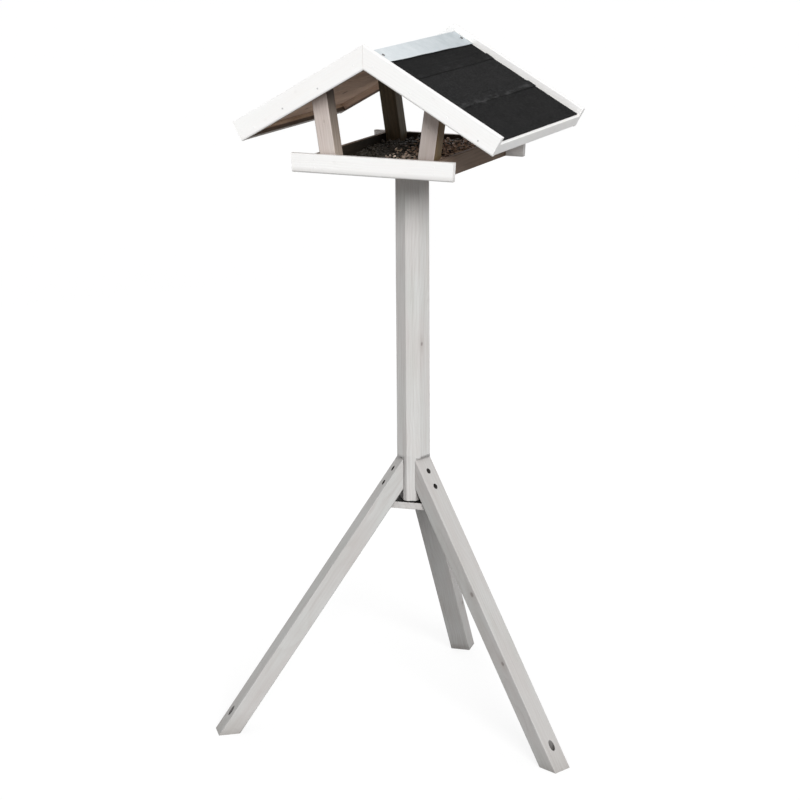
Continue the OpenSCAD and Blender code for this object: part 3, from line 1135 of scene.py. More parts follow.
@dataclass
class Fixings:
    """Screws, washers and nails, each kind modelled once and copied."""

    head_radius: float = 0.00425
    head_height: float = 0.0030
    drive_reach: float = 0.0023
    drive_width: float = 0.0010
    drive_depth: float = 0.0017
    shank_radius: float = 0.0025
    washer_radius: float = 0.0080
    washer_thickness: float = 0.0015
    washer_land: float = 0.0035
    washer_dish: float = 0.0003
    washer_roll: float = 0.4
    nail_sides: int = 14
    nail_crown: float = 0.5
    nail_land: float = 0.35
    nail_dip: float = 0.12
    nail_neck: float = 0.55
    head_crown: float = 0.6
    drive_taper: Triple = (0.45, 0.7, 1.0)
    tip_length: float = 0.004
    tip_taper: float = 0.15

    def screw(self, name: str, length: float, head: float | None = None) -> Piece:
        """Models a pan-head screw with a cross recess, its seat at the origin and its shank down from there.

        Args:
            name: Name of the pattern.
            length: Length of its shank.
            head: Radius of its head, if it isn't the usual one.

        Returns:
            The screw.
        """
        body = Bench.rod(name, head or self.head_radius, 0.0, self.head_height)
        top = self.head_height - HAIR
        with Bench.editing(body):
            Bench.pick("EDGE", lambda edge: all(v.co.z > top for v in edge.verts))
            bpy.ops.mesh.bevel(offset=self.head_height * self.head_crown, segments=4, affect="EDGES")
        cross = []
        for index in range(2):
            arm = Bench.block(
                f"recess_{index}",
                (-self.drive_reach, -self.drive_width / 2, self.head_height - self.drive_depth),
                (self.drive_reach, self.drive_width / 2, self.head_height + 0.001),
            )
            with Bench.editing(arm):
                Bench.pick("FACE", lambda face: face.normal.z < -0.5)
                bpy.ops.transform.resize(value=self.drive_taper)
            cross.append(Bench.seat(arm, Matrix.Rotation(index * math.pi / 2, 4, "Z")))
        for arm in cross:
            Bench.apply(body, "BOOLEAN", operation="DIFFERENCE", object=arm, solver="EXACT")
        Bench.scrap(*cross)
        shank = Bench.rod(f"{name}_shank", self.shank_radius, -length, 0.0, 16)
        with Bench.editing(shank):
            Bench.pick("FACE", lambda face: face.normal.z < -0.5)
            Bench.draw_down(self.tip_length)
            bpy.ops.transform.resize(value=(self.tip_taper, self.tip_taper, 1.0))
        return Bench.join(name, [body, shank])

    def washer(self, name: str) -> Piece:
        """Models a washer with a rolled rim; it lies on the XY plane from -Z up to the origin."""
        ring = Bench.rod(name, self.washer_radius, -self.washer_thickness, 0.0, 32)
        with Bench.editing(ring):
            Bench.pick("EDGE", lambda edge: all(v.co.z < -HAIR for v in edge.verts))
            bpy.ops.mesh.bevel(offset=self.washer_thickness * self.washer_roll, segments=3, affect="EDGES")
            Bench.pick("FACE", lambda face: face.normal.z < -0.9 and len(face.verts) > 8)
            bpy.ops.mesh.inset(thickness=self.washer_land, depth=-self.washer_dish)
        return ring

    def nail(self, name: str, radius: float, proud: float) -> Piece:
        """Models a nail's round head with a low crown; it stands on the XY plane.

        Args:
            name: Name of the pattern.
            radius: Radius of the head.
            proud: How far it stands out.

        Returns:
            The nail's head and the start of its shank.
        """
        head = Bench.rod(name, radius, 0.0, proud, self.nail_sides)
        with Bench.editing(head):
            Bench.pick("EDGE", lambda edge: all(v.co.z > proud - HAIR for v in edge.verts))
            bpy.ops.mesh.bevel(offset=proud * self.nail_crown, segments=2, affect="EDGES")
            Bench.pick("FACE", lambda face: face.normal.z > 0.9 and len(face.verts) > 8)
            bpy.ops.mesh.inset(thickness=radius * self.nail_land, depth=proud * self.nail_dip)
            Bench.pick("FACE", lambda face: face.normal.z < -0.9)
            bpy.ops.mesh.inset(thickness=radius * self.nail_neck)
            Bench.draw_down(self.tip_length)
        return head

    def set_of(
        self,
        name: str,
        pattern: Piece,
        places: Sequence[Matrix],
        replaces: Sequence[str] = (),
        metal: SheetMetal = STEEL,
    ) -> Piece:
        """Copies a pattern to each place and joins the copies into one dressed piece."""
        copies = [Bench.twin(pattern, f"{name}_{index}", place) for index, place in enumerate(places)]
        joined = Bench.join(name, copies)
        return Bench.finish(joined, metal.on(name, TO_RIGHT, UP), "screw_steel", replaces, smooth=40)


# ---------------- stand


@dataclass
class Stand:
    """The octagonal post, its three splayed legs and what holds them together."""

    bearings: dict[str, float] = field(
        default_factory=lambda: {"right": 68.4, "left": -51.6, "back": 188.4}
    )
    leg_lean: float = math.radians(35.0)
    leg_width: float = 0.044
    leg_depth: float = 0.038
    foot_reach: float = 0.4305
    bore_shade_radius: float = 0.0049
    peg_reach: float = 0.399
    peg_shade_radius: float = 0.0068
    peg_shade_strength: float = 0.68
    lower_darkening: float = 0.05
    screw_heights: Pair = (0.551, 0.522)
    screw_seat: float = 0.037
    leg_screw_length: float = 0.028
    arris: float = 0.0008
    arris_stop: float = 0.010
    shortest_arris: float = 0.012
    plumb_rise: float = 0.95
    octagon_angle: float = math.radians(60.0)
    plate_arris: float = 0.0012
    plate_screw: Pair = (0.010, 0.0040)
    plate_screw_inset: float = 0.016
    plate_screw_depth: float = 0.0016
    plate_knot: Knot = Knot((0.044, 0.02, 1.18), 0.006)
    spreader_tone: float = 0.94
    spreader_screw: float = 0.040
    drive_turns: Pair = (0.35, 1.25)
    post_face: Triple = (0.42, -0.9, 0.0)
    post_knots: Rows = (
        (0.80, -0.55, 0.822, 0.0042), (-0.9, 0.3, 1.02, 0.0050), (0.1, 0.95, 0.70, 0.0075),
    )
    # How much each leg's glaze is darkened, to match how bright each leg shows in its light: painted light
    # and shade.
    leg_tones: dict[str, float] = field(
        default_factory=lambda: {"right": 0.84, "left": 0.855, "back": 0.88}
    )
    leg_knots: dict[str, Rows] = field(
        default_factory=lambda: {
            "right": ((-1.0, 0.322, 0.0055), (-1.0, 0.195, 0.0045), (1.0, 0.40, 0.005)),
            "left": ((-1.0, 0.205, 0.0050), (-1.0, 0.34, 0.0060)),
            "back": ((1.0, 0.30, 0.0060), (-1.0, 0.14, 0.0050)),
        }
    )

    def outward(self, leg: str) -> Vector:
        """The level direction in which a leg spreads."""
        bearing = math.radians(self.bearings[leg])
        return Vector((math.sin(bearing), -math.cos(bearing), 0.0))

    def octagon_arris(self, edge: Edge, shoulder: float) -> bool:
        """Says whether an edge is one of the octagon's arrises above the housings."""
        above = all(vertex.co.z > shoulder - HAIR for vertex in edge.verts)
        return above and edge.calc_face_angle(0.0) < self.octagon_angle

    def leg_arris(self, edge: Edge, rise: Vector, stop: float) -> bool:
        """Says whether an edge is one that shows on a leg, short of its tip and off its plumb seat."""
        start, end = (vertex.co for vertex in edge.verts)
        plumb = abs((end - start).normalized().z) > self.plumb_rise
        return not plumb and max(rise.dot(start), rise.dot(end)) < stop + HAIR

    def outer_reach(self, height: float) -> float:
        """How far out from the post's middle a leg's upper face lies at a height."""
        return self.foot_reach - height * math.tan(self.leg_lean)

    def build(self, fixings: Fixings) -> None:
        """Builds the whole stand."""
        self.build_post()
        for leg in self.bearings:
            self.build_leg(leg)
            self.fix_leg(leg, fixings)
        self.build_spreader(fixings)
        self.build_head_plate(fixings)

    def build_post(self) -> None:
        """Eases the post's arrises and dresses it."""
        post = Bench.copy_of("post", "post_octagon")
        shoulder = solid_box("leg_right")[1].z + self.arris_stop
        Bench.slice_along(post, UP, [shoulder])
        Bench.ease(post, self.arris, 3, self.shortest_arris, lambda e: self.octagon_arris(e, shoulder))
        Bench.slice_evenly(post, UP)
        low, high = solid_box("post")
        width = (high.x - low.x) / 2
        knots = [Knot((width * x, width * y, z), radius) for x, y, z, radius in self.post_knots]
        glaze = STAND_GLAZE.on("post", UP, Vector(self.post_face), knots)
        Bench.finish(post, glaze, "grey_glaze", ["post"])

    def build_leg(self, leg: str) -> None:
        """Eases one leg's arrises and dresses it."""
        out = self.outward(leg)
        across = UP.cross(out)
        rise = UP * math.cos(self.leg_lean) - out * math.sin(self.leg_lean)
        face = out * math.cos(self.leg_lean) + UP * math.sin(self.leg_lean)
        bar = Bench.copy_of(f"leg_{leg}", f"leg_{leg}_bar")
        stop = max(rise.dot(vertex.co) for vertex in bar.data.vertices) - self.arris_stop
        Bench.slice_along(bar, rise, [stop])
        Bench.ease(bar, self.arris, 2, self.shortest_arris, lambda e: self.leg_arris(e, rise, stop))
        Bench.slice_evenly(bar, rise)
        knots = []
        for hand, height, radius in self.leg_knots[leg]:
            reach = self.outer_reach(height) - self.leg_depth / 3
            centre = out * reach + across * hand * self.leg_width / 2 + UP * height
            knots.append(Knot(centre, radius))
        # Painted shade in the two screw counterbores and the peg hole.
        hole_shades = [HoleShade(UP * height, out, self.bore_shade_radius) for height in self.screw_heights]
        hole_shades.append(HoleShade(out * self.peg_reach, UP, self.peg_shade_radius, self.peg_shade_strength))
        # Each leg gets a darkened copy of the glaze: painted shade.
        glaze = STAND_GLAZE.shaded(self.leg_tones[leg])
        # The glaze grows darker towards the feet.
        glaze = glaze.on(f"leg {leg}", rise, face, knots, hole_shades, darkening=Fade(-UP, -self.lower_darkening, 0.0))
        Bench.finish(bar, glaze, "grey_glaze", [f"leg_{leg}"])

    def fix_leg(self, leg: str, fixings: Fixings) -> None:
        """Sets a leg's two screws in their counterbores."""
        out = self.outward(leg)
        pattern = fixings.screw("leg_screw_pattern", self.leg_screw_length)
        places = []
        for height, angle in zip(self.screw_heights, self.drive_turns):
            turn = Matrix.Rotation(angle, 4, "Z")
            places.append(flat_towards(out, out * self.screw_seat + UP * height) @ turn)
        fixings.set_of(f"leg_screws_{leg}_pair", pattern, places, [f"leg_screws_{leg}"], SHADED_SCREW_STEEL)
        Bench.scrap(pattern)

    def build_spreader(self, fixings: Fixings) -> None:
        """Dresses the spreader plate, and draws it up with a screw and washer."""
        plate = Bench.copy_of("spreader_plate", "spreader_plate_board")
        Bench.ease(plate, self.plate_arris, 3, SHORT)
        # The plate's top is coloured nearly black: painted shade under the post and between the legs.
        bare = BareAndShadedFace(UP, *PLATE_TOP_SHADE)
        # A darkened copy of the glaze, as painted shade on the plate.
        glaze = STAND_GLAZE.shaded(self.spreader_tone)
        glaze = glaze.on("spreader plate", self.outward("right"), UP, bare=bare)
        Bench.finish(plate, glaze, "grey_glaze", ["spreader_plate"])
        bottom = solid_box("spreader_plate")[0].z
        washer = Bench.seat(fixings.washer("spreader_washer"), Matrix.Translation((0, 0, bottom)))
        screw = fixings.screw("spreader_screw_pan", self.spreader_screw)
        seat = Vector((0, 0, bottom - fixings.washer_thickness))
        Bench.seat(screw, flat_towards(-UP, seat))
        joined = Bench.join("spreader_screw_and_washer", [screw, washer])
        steel = STEEL.on("spreader screw", TO_RIGHT, UP)
        Bench.finish(joined, steel, "screw_steel", ["spreader_screw"], smooth=40)

    def build_head_plate(self, fixings: Fixings) -> None:
        """Dresses the plate on the post's head and screws it to the tray floor."""
        plate = Bench.copy_of("head_plate", "head_plate_board")
        Bench.ease(plate, self.plate_arris, 3, SHORT)
        wood = OLD_TIMBER.on("head plate", TO_BACK, UP, [self.plate_knot])
        Bench.finish(plate, wood, "bare_timber", ["head_plate"])
        low, high = solid_box("head_plate")
        inset = self.plate_screw_inset
        pattern = fixings.screw("plate_screw_pattern", *self.plate_screw)
        places = [
            flat_towards(-UP, Vector((x, y, low.z + self.plate_screw_depth)))
            for x in (low.x + inset, high.x - inset)
            for y in (low.y + inset, high.y - inset)
        ]
        fixings.set_of("head_plate_screws", pattern, places)
        Bench.scrap(pattern)


# ---------------- tray


@dataclass
class Tray:
    """The open tray: its floor boards and the four boards round it."""

    floor_boards: int = 4
    plank_gap: float = 0.0003
    plank_arris: float = 0.0010
    floor_knots: Rows = ((0.09, 0.10, 0.007), (-0.10, -0.06, 0.005), (-0.03, 0.12, 0.006))
    gable_knots: Rows = ((0.27, 0.024, 0.0045), (0.71, 0.013, 0.0035))
    nail: Pair = (0.0016, 0.0003)
    nail_heights: Pair = (0.3, 0.72)
    end_arris: float = 0.0006
    end_edge: float = 0.006
    raked_arris: float = 0.00098
    arris: float = 0.0014
    lower_round: float = 0.0040
    lower_darkening: float = 0.012
    rake: float = 0.002

    def build(self, fixings: Fixings) -> None:
        """Builds the whole tray."""
        self.build_floor()
        for end in End:
            self.build_gable_board(end)
        for side in Side:
            self.build_side_board(side)
        self.nail_boards(fixings)

    def build_floor(self) -> None:
        """Lays the floor in boards, with an eased joint between each two."""
        low, high = solid_box("tray_floor")
        width = (high.x - low.x) / self.floor_boards
        planks = []
        for index in range(self.floor_boards):
            start = low.x + index * width + (self.plank_gap if index else 0.0)
            stop = low.x + (index + 1) * width
            plank = Bench.block(f"floor_board_{index}", (start, low.y, low.z), (stop, high.y, high.z))
            Bench.ease(plank, self.plank_arris, 2, LONG)
            planks.append(plank)
        floor = Bench.join("tray_floor_boards", planks)
        knots = [Knot((x, y, low.z), radius) for x, y, radius in self.floor_knots]
        wood = OLD_TIMBER.on("tray floor", TO_BACK, UP, knots)
        Bench.finish(floor, wood, "bare_timber", ["tray_floor"])

    def build_gable_board(self, end: End) -> None:
        """Shapes the front or back board, with raked ends and a well-rounded lower outer arris."""
        name = f"tray_{end.name.lower()}_board"
        low, high = solid_box(name)
        board = Bench.block(f"{name}_painted", low, high)
        outer = outer_face(name, end)
        span = high.x - low.x
        with Bench.editing(board):
            Bench.pick("FACE", lambda face: face.normal.z < -0.5)
            squeeze = (span - 2 * self.rake) / span
            middle = ((low.x + high.x) / 2, 0, low.z)
            bpy.ops.transform.resize(value=(squeeze, 1, 1), center_override=middle)
        Bench.ease(board, self.lower_round, 5, LONG, lambda e: edge_at(e, y=outer, z=low.z))
        Bench.ease(board, self.arris, 3, LONG, lambda e: edge_at(e, z=high.z))
        Bench.ease(board, self.raked_arris, 2, SHORT)
        knots = [
            Knot((low.x + span * part, outer, low.z + up), radius) for part, up, radius in self.gable_knots
        ]
        # The inner face inside the tray is bare and coloured very dark, as painted shade; the outer face
        # darkens near its rounded lower arris, as painted shade too.
        inside = sum(corner.x for corner in solid_box("tray_right_board")) / 2
        limits = ((TO_RIGHT, inside), (-TO_RIGHT, inside))
        bare = BareAndShadedFace(-TO_BACK * end.value, *TRAY_BARE_SHADED, limits)
        darkening = Fade(-UP, -low.z - self.lower_darkening, -low.z)
        paint = WHITE_PAINT.on(name, TO_RIGHT, TO_BACK, knots, bare=bare, darkening=darkening)
        Bench.finish(board, paint, "white_paint", [name])

    def build_side_board(self, side: Side) -> None:
        """Shapes a side board, with eased long arrises and a bare inner face coloured very dark as painted
        shade, darker still on the left.
        """
        name = f"tray_{side.name.lower()}_board"
        low, high = solid_box(name)
        board = Bench.block(f"{name}_raw", low, high)
        Bench.ease(board, self.arris, 3, LONG)
        Bench.ease(board, self.end_arris, 1, self.end_edge)
        tones = LEFT_SIDE_BARE_SHADED if side is Side.LEFT else TRAY_BARE_SHADED
        bare = BareAndShadedFace(-TO_RIGHT * side.value, *tones)
        paint = SIDE_BOARD_GLAZE.on(name, TO_BACK, TO_RIGHT, bare=bare)
        Bench.finish(board, paint, "bare_timber", [name])

    def nail_boards(self, fixings: Fixings) -> None:
        """Nails the front and back boards to the side boards."""
        pattern = fixings.nail("tray_nail_pattern", *self.nail)
        places = []
        for end in End:
            board = f"tray_{end.name.lower()}_board"
            low, high = solid_box(board)
            for side in Side:
                middle = sum(corner.x for corner in solid_box(f"tray_{side.name.lower()}_board")) / 2
                for part in self.nail_heights:
                    at = Vector((middle, outer_face(board, end), low.z + part * (high.z - low.z)))
                    places.append(flat_towards(TO_BACK * end.value, at))
        fixings.set_of("tray_board_nails", pattern, places, metal=COATED_STEEL)
        Bench.scrap(pattern)


# ---------------- corner posts


@dataclass
class CornerPosts:
    """The four leaning posts between the tray and the roof."""

    lean: float = math.radians(8.5)
    arris: float = 0.0008
    # The right posts' glaze is darkened by this factor: painted shade.
    right_tone: float = 0.92
    margin: float = 0.015
    knot_height: float = 0.09
    knot_radius: float = 0.0035
    shortest_arris: float = 0.012
    bare_within: float = -0.6

    def build(self) -> None:
        """Builds all four."""
        for end in End:
            for side in Side:
                self.build_post(end, side)

    def build_post(self, end: End, side: Side) -> None:
        """Eases and dresses one post; the left ones darken under the roof and the right ones towards the
        tray, as painted shade.
        """
        node = f"corner_post_{end.name.lower()}_{side.name.lower()}"
        post = Bench.copy_of(node, f"{node}_bar")
        Bench.ease(post, self.arris, 2, self.shortest_arris)
        along = Vector((side.value * math.sin(self.lean), 0, math.cos(self.lean)))
        low, high = solid_box(node)
        centre = ((low.x + high.x) / 2, outer_face(node, end), low.z + self.knot_height)
        knot = Knot(centre, self.knot_radius)
        Bench.slice_evenly(post, along)
        # Painted shade: the left posts' coat and the front left post's bare face darken upwards under the
        # roof; the right posts' coat darkens towards the tray.
        upward = Fade(UP, low.z + self.margin, high.z - self.margin)
        under_roof = Fade(UP, high.z - 4 * self.margin, high.z - self.margin / 2)
        downward = Fade(-UP, self.margin - high.z, -self.margin - low.z)
        painted_shade = None
        tones = BACK_POST_BARE_SHADED
        if end is End.FRONT:
            tones = FRONT_LEFT_POST_BARE if side is Side.LEFT else FRONT_RIGHT_POST_BARE_SHADED
            painted_shade = upward if side is Side.LEFT else None
        bare = BareAndShadedFace(-TO_BACK * end.value, *tones, painted_shade=painted_shade, within=self.bare_within)
        coat = CORNER_GLAZE.shaded(self.right_tone) if side is Side.RIGHT else CORNER_GLAZE
        darkening = downward if side is Side.RIGHT else under_roof
        glaze = coat.on(node, along, TO_BACK, [knot], bare=bare, darkening=darkening)
        Bench.finish(post, glaze, "grey_glaze", [node])


# ---------------- roof


@dataclass
class Roof:
    """The gabled roof: boarded panels, bargeboards, eave boards, felt and a metal ridge cap."""

    pitch: float = math.radians(29.5)
    slope_length: float = 0.330
    bargeboard_depth: float = 0.042
    lower_round: float = 0.0042
    arris: float = 0.0014
    felt_top: float = -0.015
    felt_lap: float = 0.020
    felt_wave: float = 0.00045
    lap_lift: float = 0.0008
    lap_pressed: float = 0.0009
    pressed_width: float = 0.013
    lap_wander: float = 0.0016
    laps: Pair = (0.112, 0.218)
    lap_wear: Pair = (0.35, 0.75)
    course_tones: dict[str, float] = field(
        default_factory=lambda: {"upper": 0.65, "middle": 1.06, "lower": 0.82}
    )
    panel_levels: Pair = (-0.017, -0.027)
    panel_end: float = 0.314
    panel_boards: int = 3
    plank_gap: float = 0.0004
    plank_arris: float = 0.0013
    end_arris: float = 0.0011
    eave_round: float = 0.003
    eave_shade_depths: Pair = (0.0325, 0.0350)
    barge_damp: Pair = (0.0195, 0.0240)
    mitre_gap: float = 0.0002
    fold: float = 0.0035
    felt_fold: float = 0.0025
    felt_steps: Pair = (0.0107, 0.012)
    felt_cuts: int = 26
    cap_cuts: int = 40
    cap_bends: tuple[float, ...] = (0.2, 0.4, 0.6, 0.8)
    nail: Pair = (0.0018, 0.0004)
    worn_nails: tuple[tuple[Side, float], ...] = (
        (Side.LEFT, 0.128), (Side.LEFT, 0.216), (Side.RIGHT, 0.2916),
    )
    nail_downs: Rows = ((0.038, -0.025), (0.128, -0.028), (0.216, -0.027), (0.2916, -0.0306))
    eave_nails: tuple[float, ...] = (-0.17, -0.06, 0.055, 0.168)
    eave_nail_level: float = -0.0235
    eave_knot: Triple = (0.09, -0.03, 0.0040)
    barge_knots: Rows = ((0.175, -0.012, 0.0040), (0.262, -0.030, 0.0035))
    panel_knots: Rows = (
        (0.13, -0.11, 0.006), (0.22, 0.06, 0.008), (0.06, 0.02, 0.005), (0.27, -0.03, 0.005),
    )
    cap_front: float = 0.049
    cap_back: float = 0.056
    cap_side: float = 0.052
    cap_wander: float = 0.0004
    cap_dent: float = 0.0007
    cap_gap: float = 0.0002
    cap_nail: Pair = (0.0034, 0.0009)
    cap_nail_level: float = 0.0033
    cap_nail_ends: Pair = (-0.1715, 0.201)
    cap_nail_downs: dict[Side, Pair] = field(
        default_factory=lambda: {Side.RIGHT: (0.0275, 0.0325), Side.LEFT: (0.029, 0.031)}
    )

    def slope(self, side: Side) -> Slope:
        """One slope of the roof, from the height of the bargeboards' joint."""
        return Slope(side, self.pitch, solid_box("bargeboard_front_left")[1].z)

    def build(self, fixings: Fixings) -> None:
        """Builds the whole roof."""
        for side in Side:
            self.build_panel(side)
            self.build_eave_board(side)
            for end in End:
                self.build_bargeboard(side, end)
            for course in ("lower", "middle", "upper"):
                self.build_felt(side, course)
        self.build_ridge()
        self.nail_cap(fixings)
        self.nail_boards(fixings)

    @staticmethod
    def shade_below(slope: Slope, level: float, depths: Pair) -> Fade:
        """Painted shade that sets in between two depths below a level of the slope."""
        reach = slope.out.dot(slope.point(0, 0, level))
        return Fade(-slope.out, *(depth - reach for depth in depths))

    def mitre(self, piece: Piece, gap: float = 0.0) -> None:
        """Cuts a piece that lies in slope directions to the plumb plane under the ridge, less a gap."""
        with Bench.editing(piece):
            bpy.ops.mesh.select_all(action="SELECT")
            plumb = Vector((math.cos(self.pitch), 0.0, math.sin(self.pitch)))
            bpy.ops.mesh.bisect(plane_co=plumb * gap, plane_no=plumb, clear_inner=True, use_fill=True)

    def build_panel(self, side: Side) -> None:
        """Boards one slope with planks that run along the ridge, each joint eased."""
        node = f"roof_panel_{side.name.lower()}"
        reach = solid_box(node)[1].y
        top, bottom = self.panel_levels
        width = self.panel_end / self.panel_boards
        planks = []
        for index in range(self.panel_boards):
            stop = (index + 1) * width - self.plank_gap
            plank = Bench.block(f"{node}_{index}", (index * width, -reach, bottom), (stop, reach, top))
            if index == 0:
                self.mitre(plank)
            Bench.ease(plank, self.plank_arris, 2, LONG)
            planks.append(plank)
        panel = Bench.join(f"{node}_boards", planks)
        slope = self.slope(side)
        Bench.seat(panel, slope.place)
        knots = [Knot(slope.point(down, y, bottom), radius) for down, y, radius in self.panel_knots]
        wood = ROOF_TIMBER.on(node, TO_BACK, slope.out, knots)
        Bench.finish(panel, wood, "bare_timber", [node])

    def build_eave_board(self, side: Side) -> None:
        """Shapes the board along one eave, its lower outer arris rounded."""
        node = f"eave_board_{side.name.lower()}"
        reach = solid_box(node)[1].y
        low = (self.panel_end, -reach, -self.bargeboard_depth)
        high = (self.slope_length, reach, self.panel_levels[0])
        board = Bench.block(f"{node}_painted", low, high)
        Bench.ease(board, self.eave_round, 4, LONG, lambda e: edge_at(e, x=high[0], z=low[2]))
        Bench.ease(board, self.arris, 3, LONG)
        slope = self.slope(side)
        Bench.seat(board, slope.place)
        y, out, radius = self.eave_knot
        knots = [Knot(slope.point(self.slope_length, y, out), radius)]
        # Painted shade: the bare inner and lower faces darken towards the lower edge.
        painted_shade = self.shade_below(slope, 0.0, self.eave_shade_depths)
        bare = BareAndShadedFace((-slope.down - slope.out).normalized(), *EAVE_BARE_LIT, painted_shade=painted_shade)
        paint = WHITE_PAINT.on(node, TO_BACK, slope.down, knots, bare=bare)
        Bench.finish(board, paint, "white_paint", [node])

    def build_bargeboard(self, side: Side, end: End) -> None:
        """Shapes a bargeboard, mitred at the ridge and rounded along its lower outer arris."""
        node = f"bargeboard_{end.name.lower()}_{side.name.lower()}"
        near, far = sorted(corner.y * side.value for corner in solid_box(node))
        outer = outer_face(node, end) * side.value
        lowest = -self.bargeboard_depth
        board = Bench.block(f"{node}_painted", (0.0, near, lowest), (self.slope_length, far, 0.0))
        self.mitre(board, self.mitre_gap)
        Bench.ease(board, self.lower_round, 5, LONG, lambda e: edge_at(e, y=outer, z=lowest))
        Bench.ease(board, self.arris, 3, LONG, lambda e: edge_at(e, z=0.0) or edge_at(e, z=lowest))
        Bench.ease(board, self.end_arris, 2, SHORT, lambda e: edge_at(e, x=self.slope_length))
        slope = self.slope(side)
        Bench.seat(board, slope.place)
        y = outer_face(node, end)
        knots = [Knot(slope.point(down, y, out), radius) for down, out, radius in self.barge_knots]
        panel_top = self.panel_levels[0]
        below = (slope.out, slope.out.dot(slope.point(0, 0, panel_top)))
        # Painted shade: the bare inner face darkens towards its lower edge.
        painted_shade = self.shade_below(slope, panel_top, self.barge_damp)
        inner_and_under = (-TO_BACK * end.value - slope.out).normalized()
        bare = BareAndShadedFace(inner_and_under, *BARGE_BARE_LIT, (below,), painted_shade)
        paint = WHITE_PAINT.on(node, slope.down, TO_BACK, knots, bare=bare)
        Bench.finish(board, paint, "white_paint", [node])

    def build_felt(self, side: Side, course: str) -> None:
        """Lays one felt course, slightly buckled, its lap wandering and lifted here and there."""
        node = f"felt_{side.name.lower()}_{course}"
        felt = Bench.copy_of(node, f"{node}_sheet")
        slope = self.slope(side)
        start = slope.down.dot(UP * slope.apex)
        reach = solid_box(node)[1].y
        along, down = self.felt_steps
        stations = [-reach + along * (index + 1) for index in range(int(2 * reach / along))]
        Bench.slice_along(felt, TO_BACK, stations)
        cuts = range(1, self.felt_cuts + 1)
        Bench.slice_along(felt, slope.down, [start + down * index for index in cuts])

        def buckle(point: Vector) -> Vector:
            """How far one corner of the felt strays from its flat place."""
            place = slope.of(point)
            lift = self.felt_wave * (1 + ripple(Vector((place.x, place.y, 0)), 0.075, 2.0))
            slip = 0.0
            if course != "lower" and place.z > self.felt_top + 0.0002:
                lap = self.laps[1] if course == "middle" else self.laps[0]
                near = max(0.0, 1 - (lap - place.x) / self.felt_lap)
                pressed = max(0.0, 1 - (lap - place.x) / self.pressed_width)
                lift += self.lap_lift * near * max(0.0, ripple(point, 0.05, 5.0) + 0.35)
                lift -= self.lap_pressed * pressed * (1 + 0.4 * ripple(point, 0.09, 2.0))
                slip = self.lap_wander * near * ripple(point, 0.11, 9.0 + lap * 30)
            return slope.place.to_3x3() @ Vector((slip, 0, lift))

        Bench.drift(felt, buckle)
        wear = dict(zip(self.laps, self.lap_wear))
        material = ROOFING_FELT.on(node.replace("_", " "), slope, wear, self.course_tones[course])
        Bench.finish(felt, material, "roofing_felt", [node], smooth=40, flats=False)

    def build_ridge(self) -> None:
        """Folds the ridge felt and the metal cap over the ridge."""
        strip = Bench.copy_of("ridge_felt", "ridge_felt_strip")
        Bench.ease(strip, self.felt_fold, 3, LONG, lambda e: edge_at(e, x=0.0))
        felt = ROOFING_FELT.on("ridge", self.slope(Side.RIGHT), {})
        Bench.finish(strip, felt, "roofing_felt", ["ridge_felt"])
        cap = Bench.copy_of("ridge_cap", "ridge_cap_sheet")
        Bench.ease(cap, self.fold, 5, LONG, lambda e: edge_at(e, x=0.0))
        reach = solid_box("ridge_cap")[1].y
        count = self.cap_cuts
        Bench.slice_along(cap, TO_BACK, [reach * (2 * index / count - 1) for index in range(1, count)])
        width = solid_box("ridge_cap")[1].x
        parts = [sign * part for sign in (-1, 1) for part in self.cap_bends]
        Bench.slice_along(cap, TO_RIGHT, [width * part for part in parts])
        slopes = {1: self.slope(Side.RIGHT), -1: self.slope(Side.LEFT)}

        def dress(point: Vector) -> Vector:
            """Sets the wing's width at this place along the ridge, and its small dents."""
            sign = 1 if point.x >= 0 else -1
            slope = slopes[sign]
            place = slope.of(point)
            part = (point.y + reach) / (2 * reach)
            wide = self.cap_side
            if sign > 0:
                wide = self.cap_front + (self.cap_back - self.cap_front) * part
            wide += self.cap_wander * ripple(point, 0.13, 3.0)
            outward = max(0.0, place.x) / self.cap_side
            dent = self.cap_dent * outward * max(-0.2, ripple(point, 0.12, 7.0)) + self.cap_gap
            return slope.place.to_3x3() @ Vector(((wide - self.cap_side) * outward, 0, dent))

        Bench.drift(cap, dress)
        zinc = ZINC.on("ridge cap", TO_BACK, UP, Fade(TO_BACK, -0.10, 0.16))
        Bench.finish(cap, zinc, "ridge_metal", ["ridge_cap"], smooth=30, flats=False)

    def nail_cap(self, fixings: Fixings) -> None:
        """Nails the ridge cap down near its four corners."""
        pattern = fixings.nail("cap_nail_pattern", *self.cap_nail)
        places = []
        for side, downs in self.cap_nail_downs.items():
            slope = self.slope(side)
            for down, y in zip(downs, self.cap_nail_ends):
                level = self.felt_top + self.cap_nail_level
                places.append(flat_towards(slope.out, slope.point(down, y, level)))
        fixings.set_of("ridge_cap_nails", pattern, places, metal=RUSTED_STEEL)
        Bench.scrap(pattern)

    def nail_boards(self, fixings: Fixings) -> None:
        """Nails the bargeboards and the eave boards to the panels."""
        pattern = fixings.nail("board_nail_pattern", *self.nail)
        painted, worn = [], []
        for side in Side:
            slope = self.slope(side)
            for end in End:
                y = outer_face(f"bargeboard_{end.name.lower()}_{side.name.lower()}", end)
                for down, out in self.nail_downs:
                    place = flat_towards(TO_BACK * end.value, slope.point(down, y, out))
                    shows = end is End.FRONT and (side, down) in self.worn_nails
                    (worn if shows else painted).append(place)
            for y in self.eave_nails:
                place = slope.point(self.slope_length, y, self.eave_nail_level)
                painted.append(flat_towards(slope.down, place))
        fixings.set_of("roof_board_nails", pattern, painted, metal=COATED_STEEL)
        fixings.set_of("roof_board_nails_worn", pattern, worn, metal=WORN_COATED_STEEL)
        Bench.scrap(pattern)


# ---------------- seed


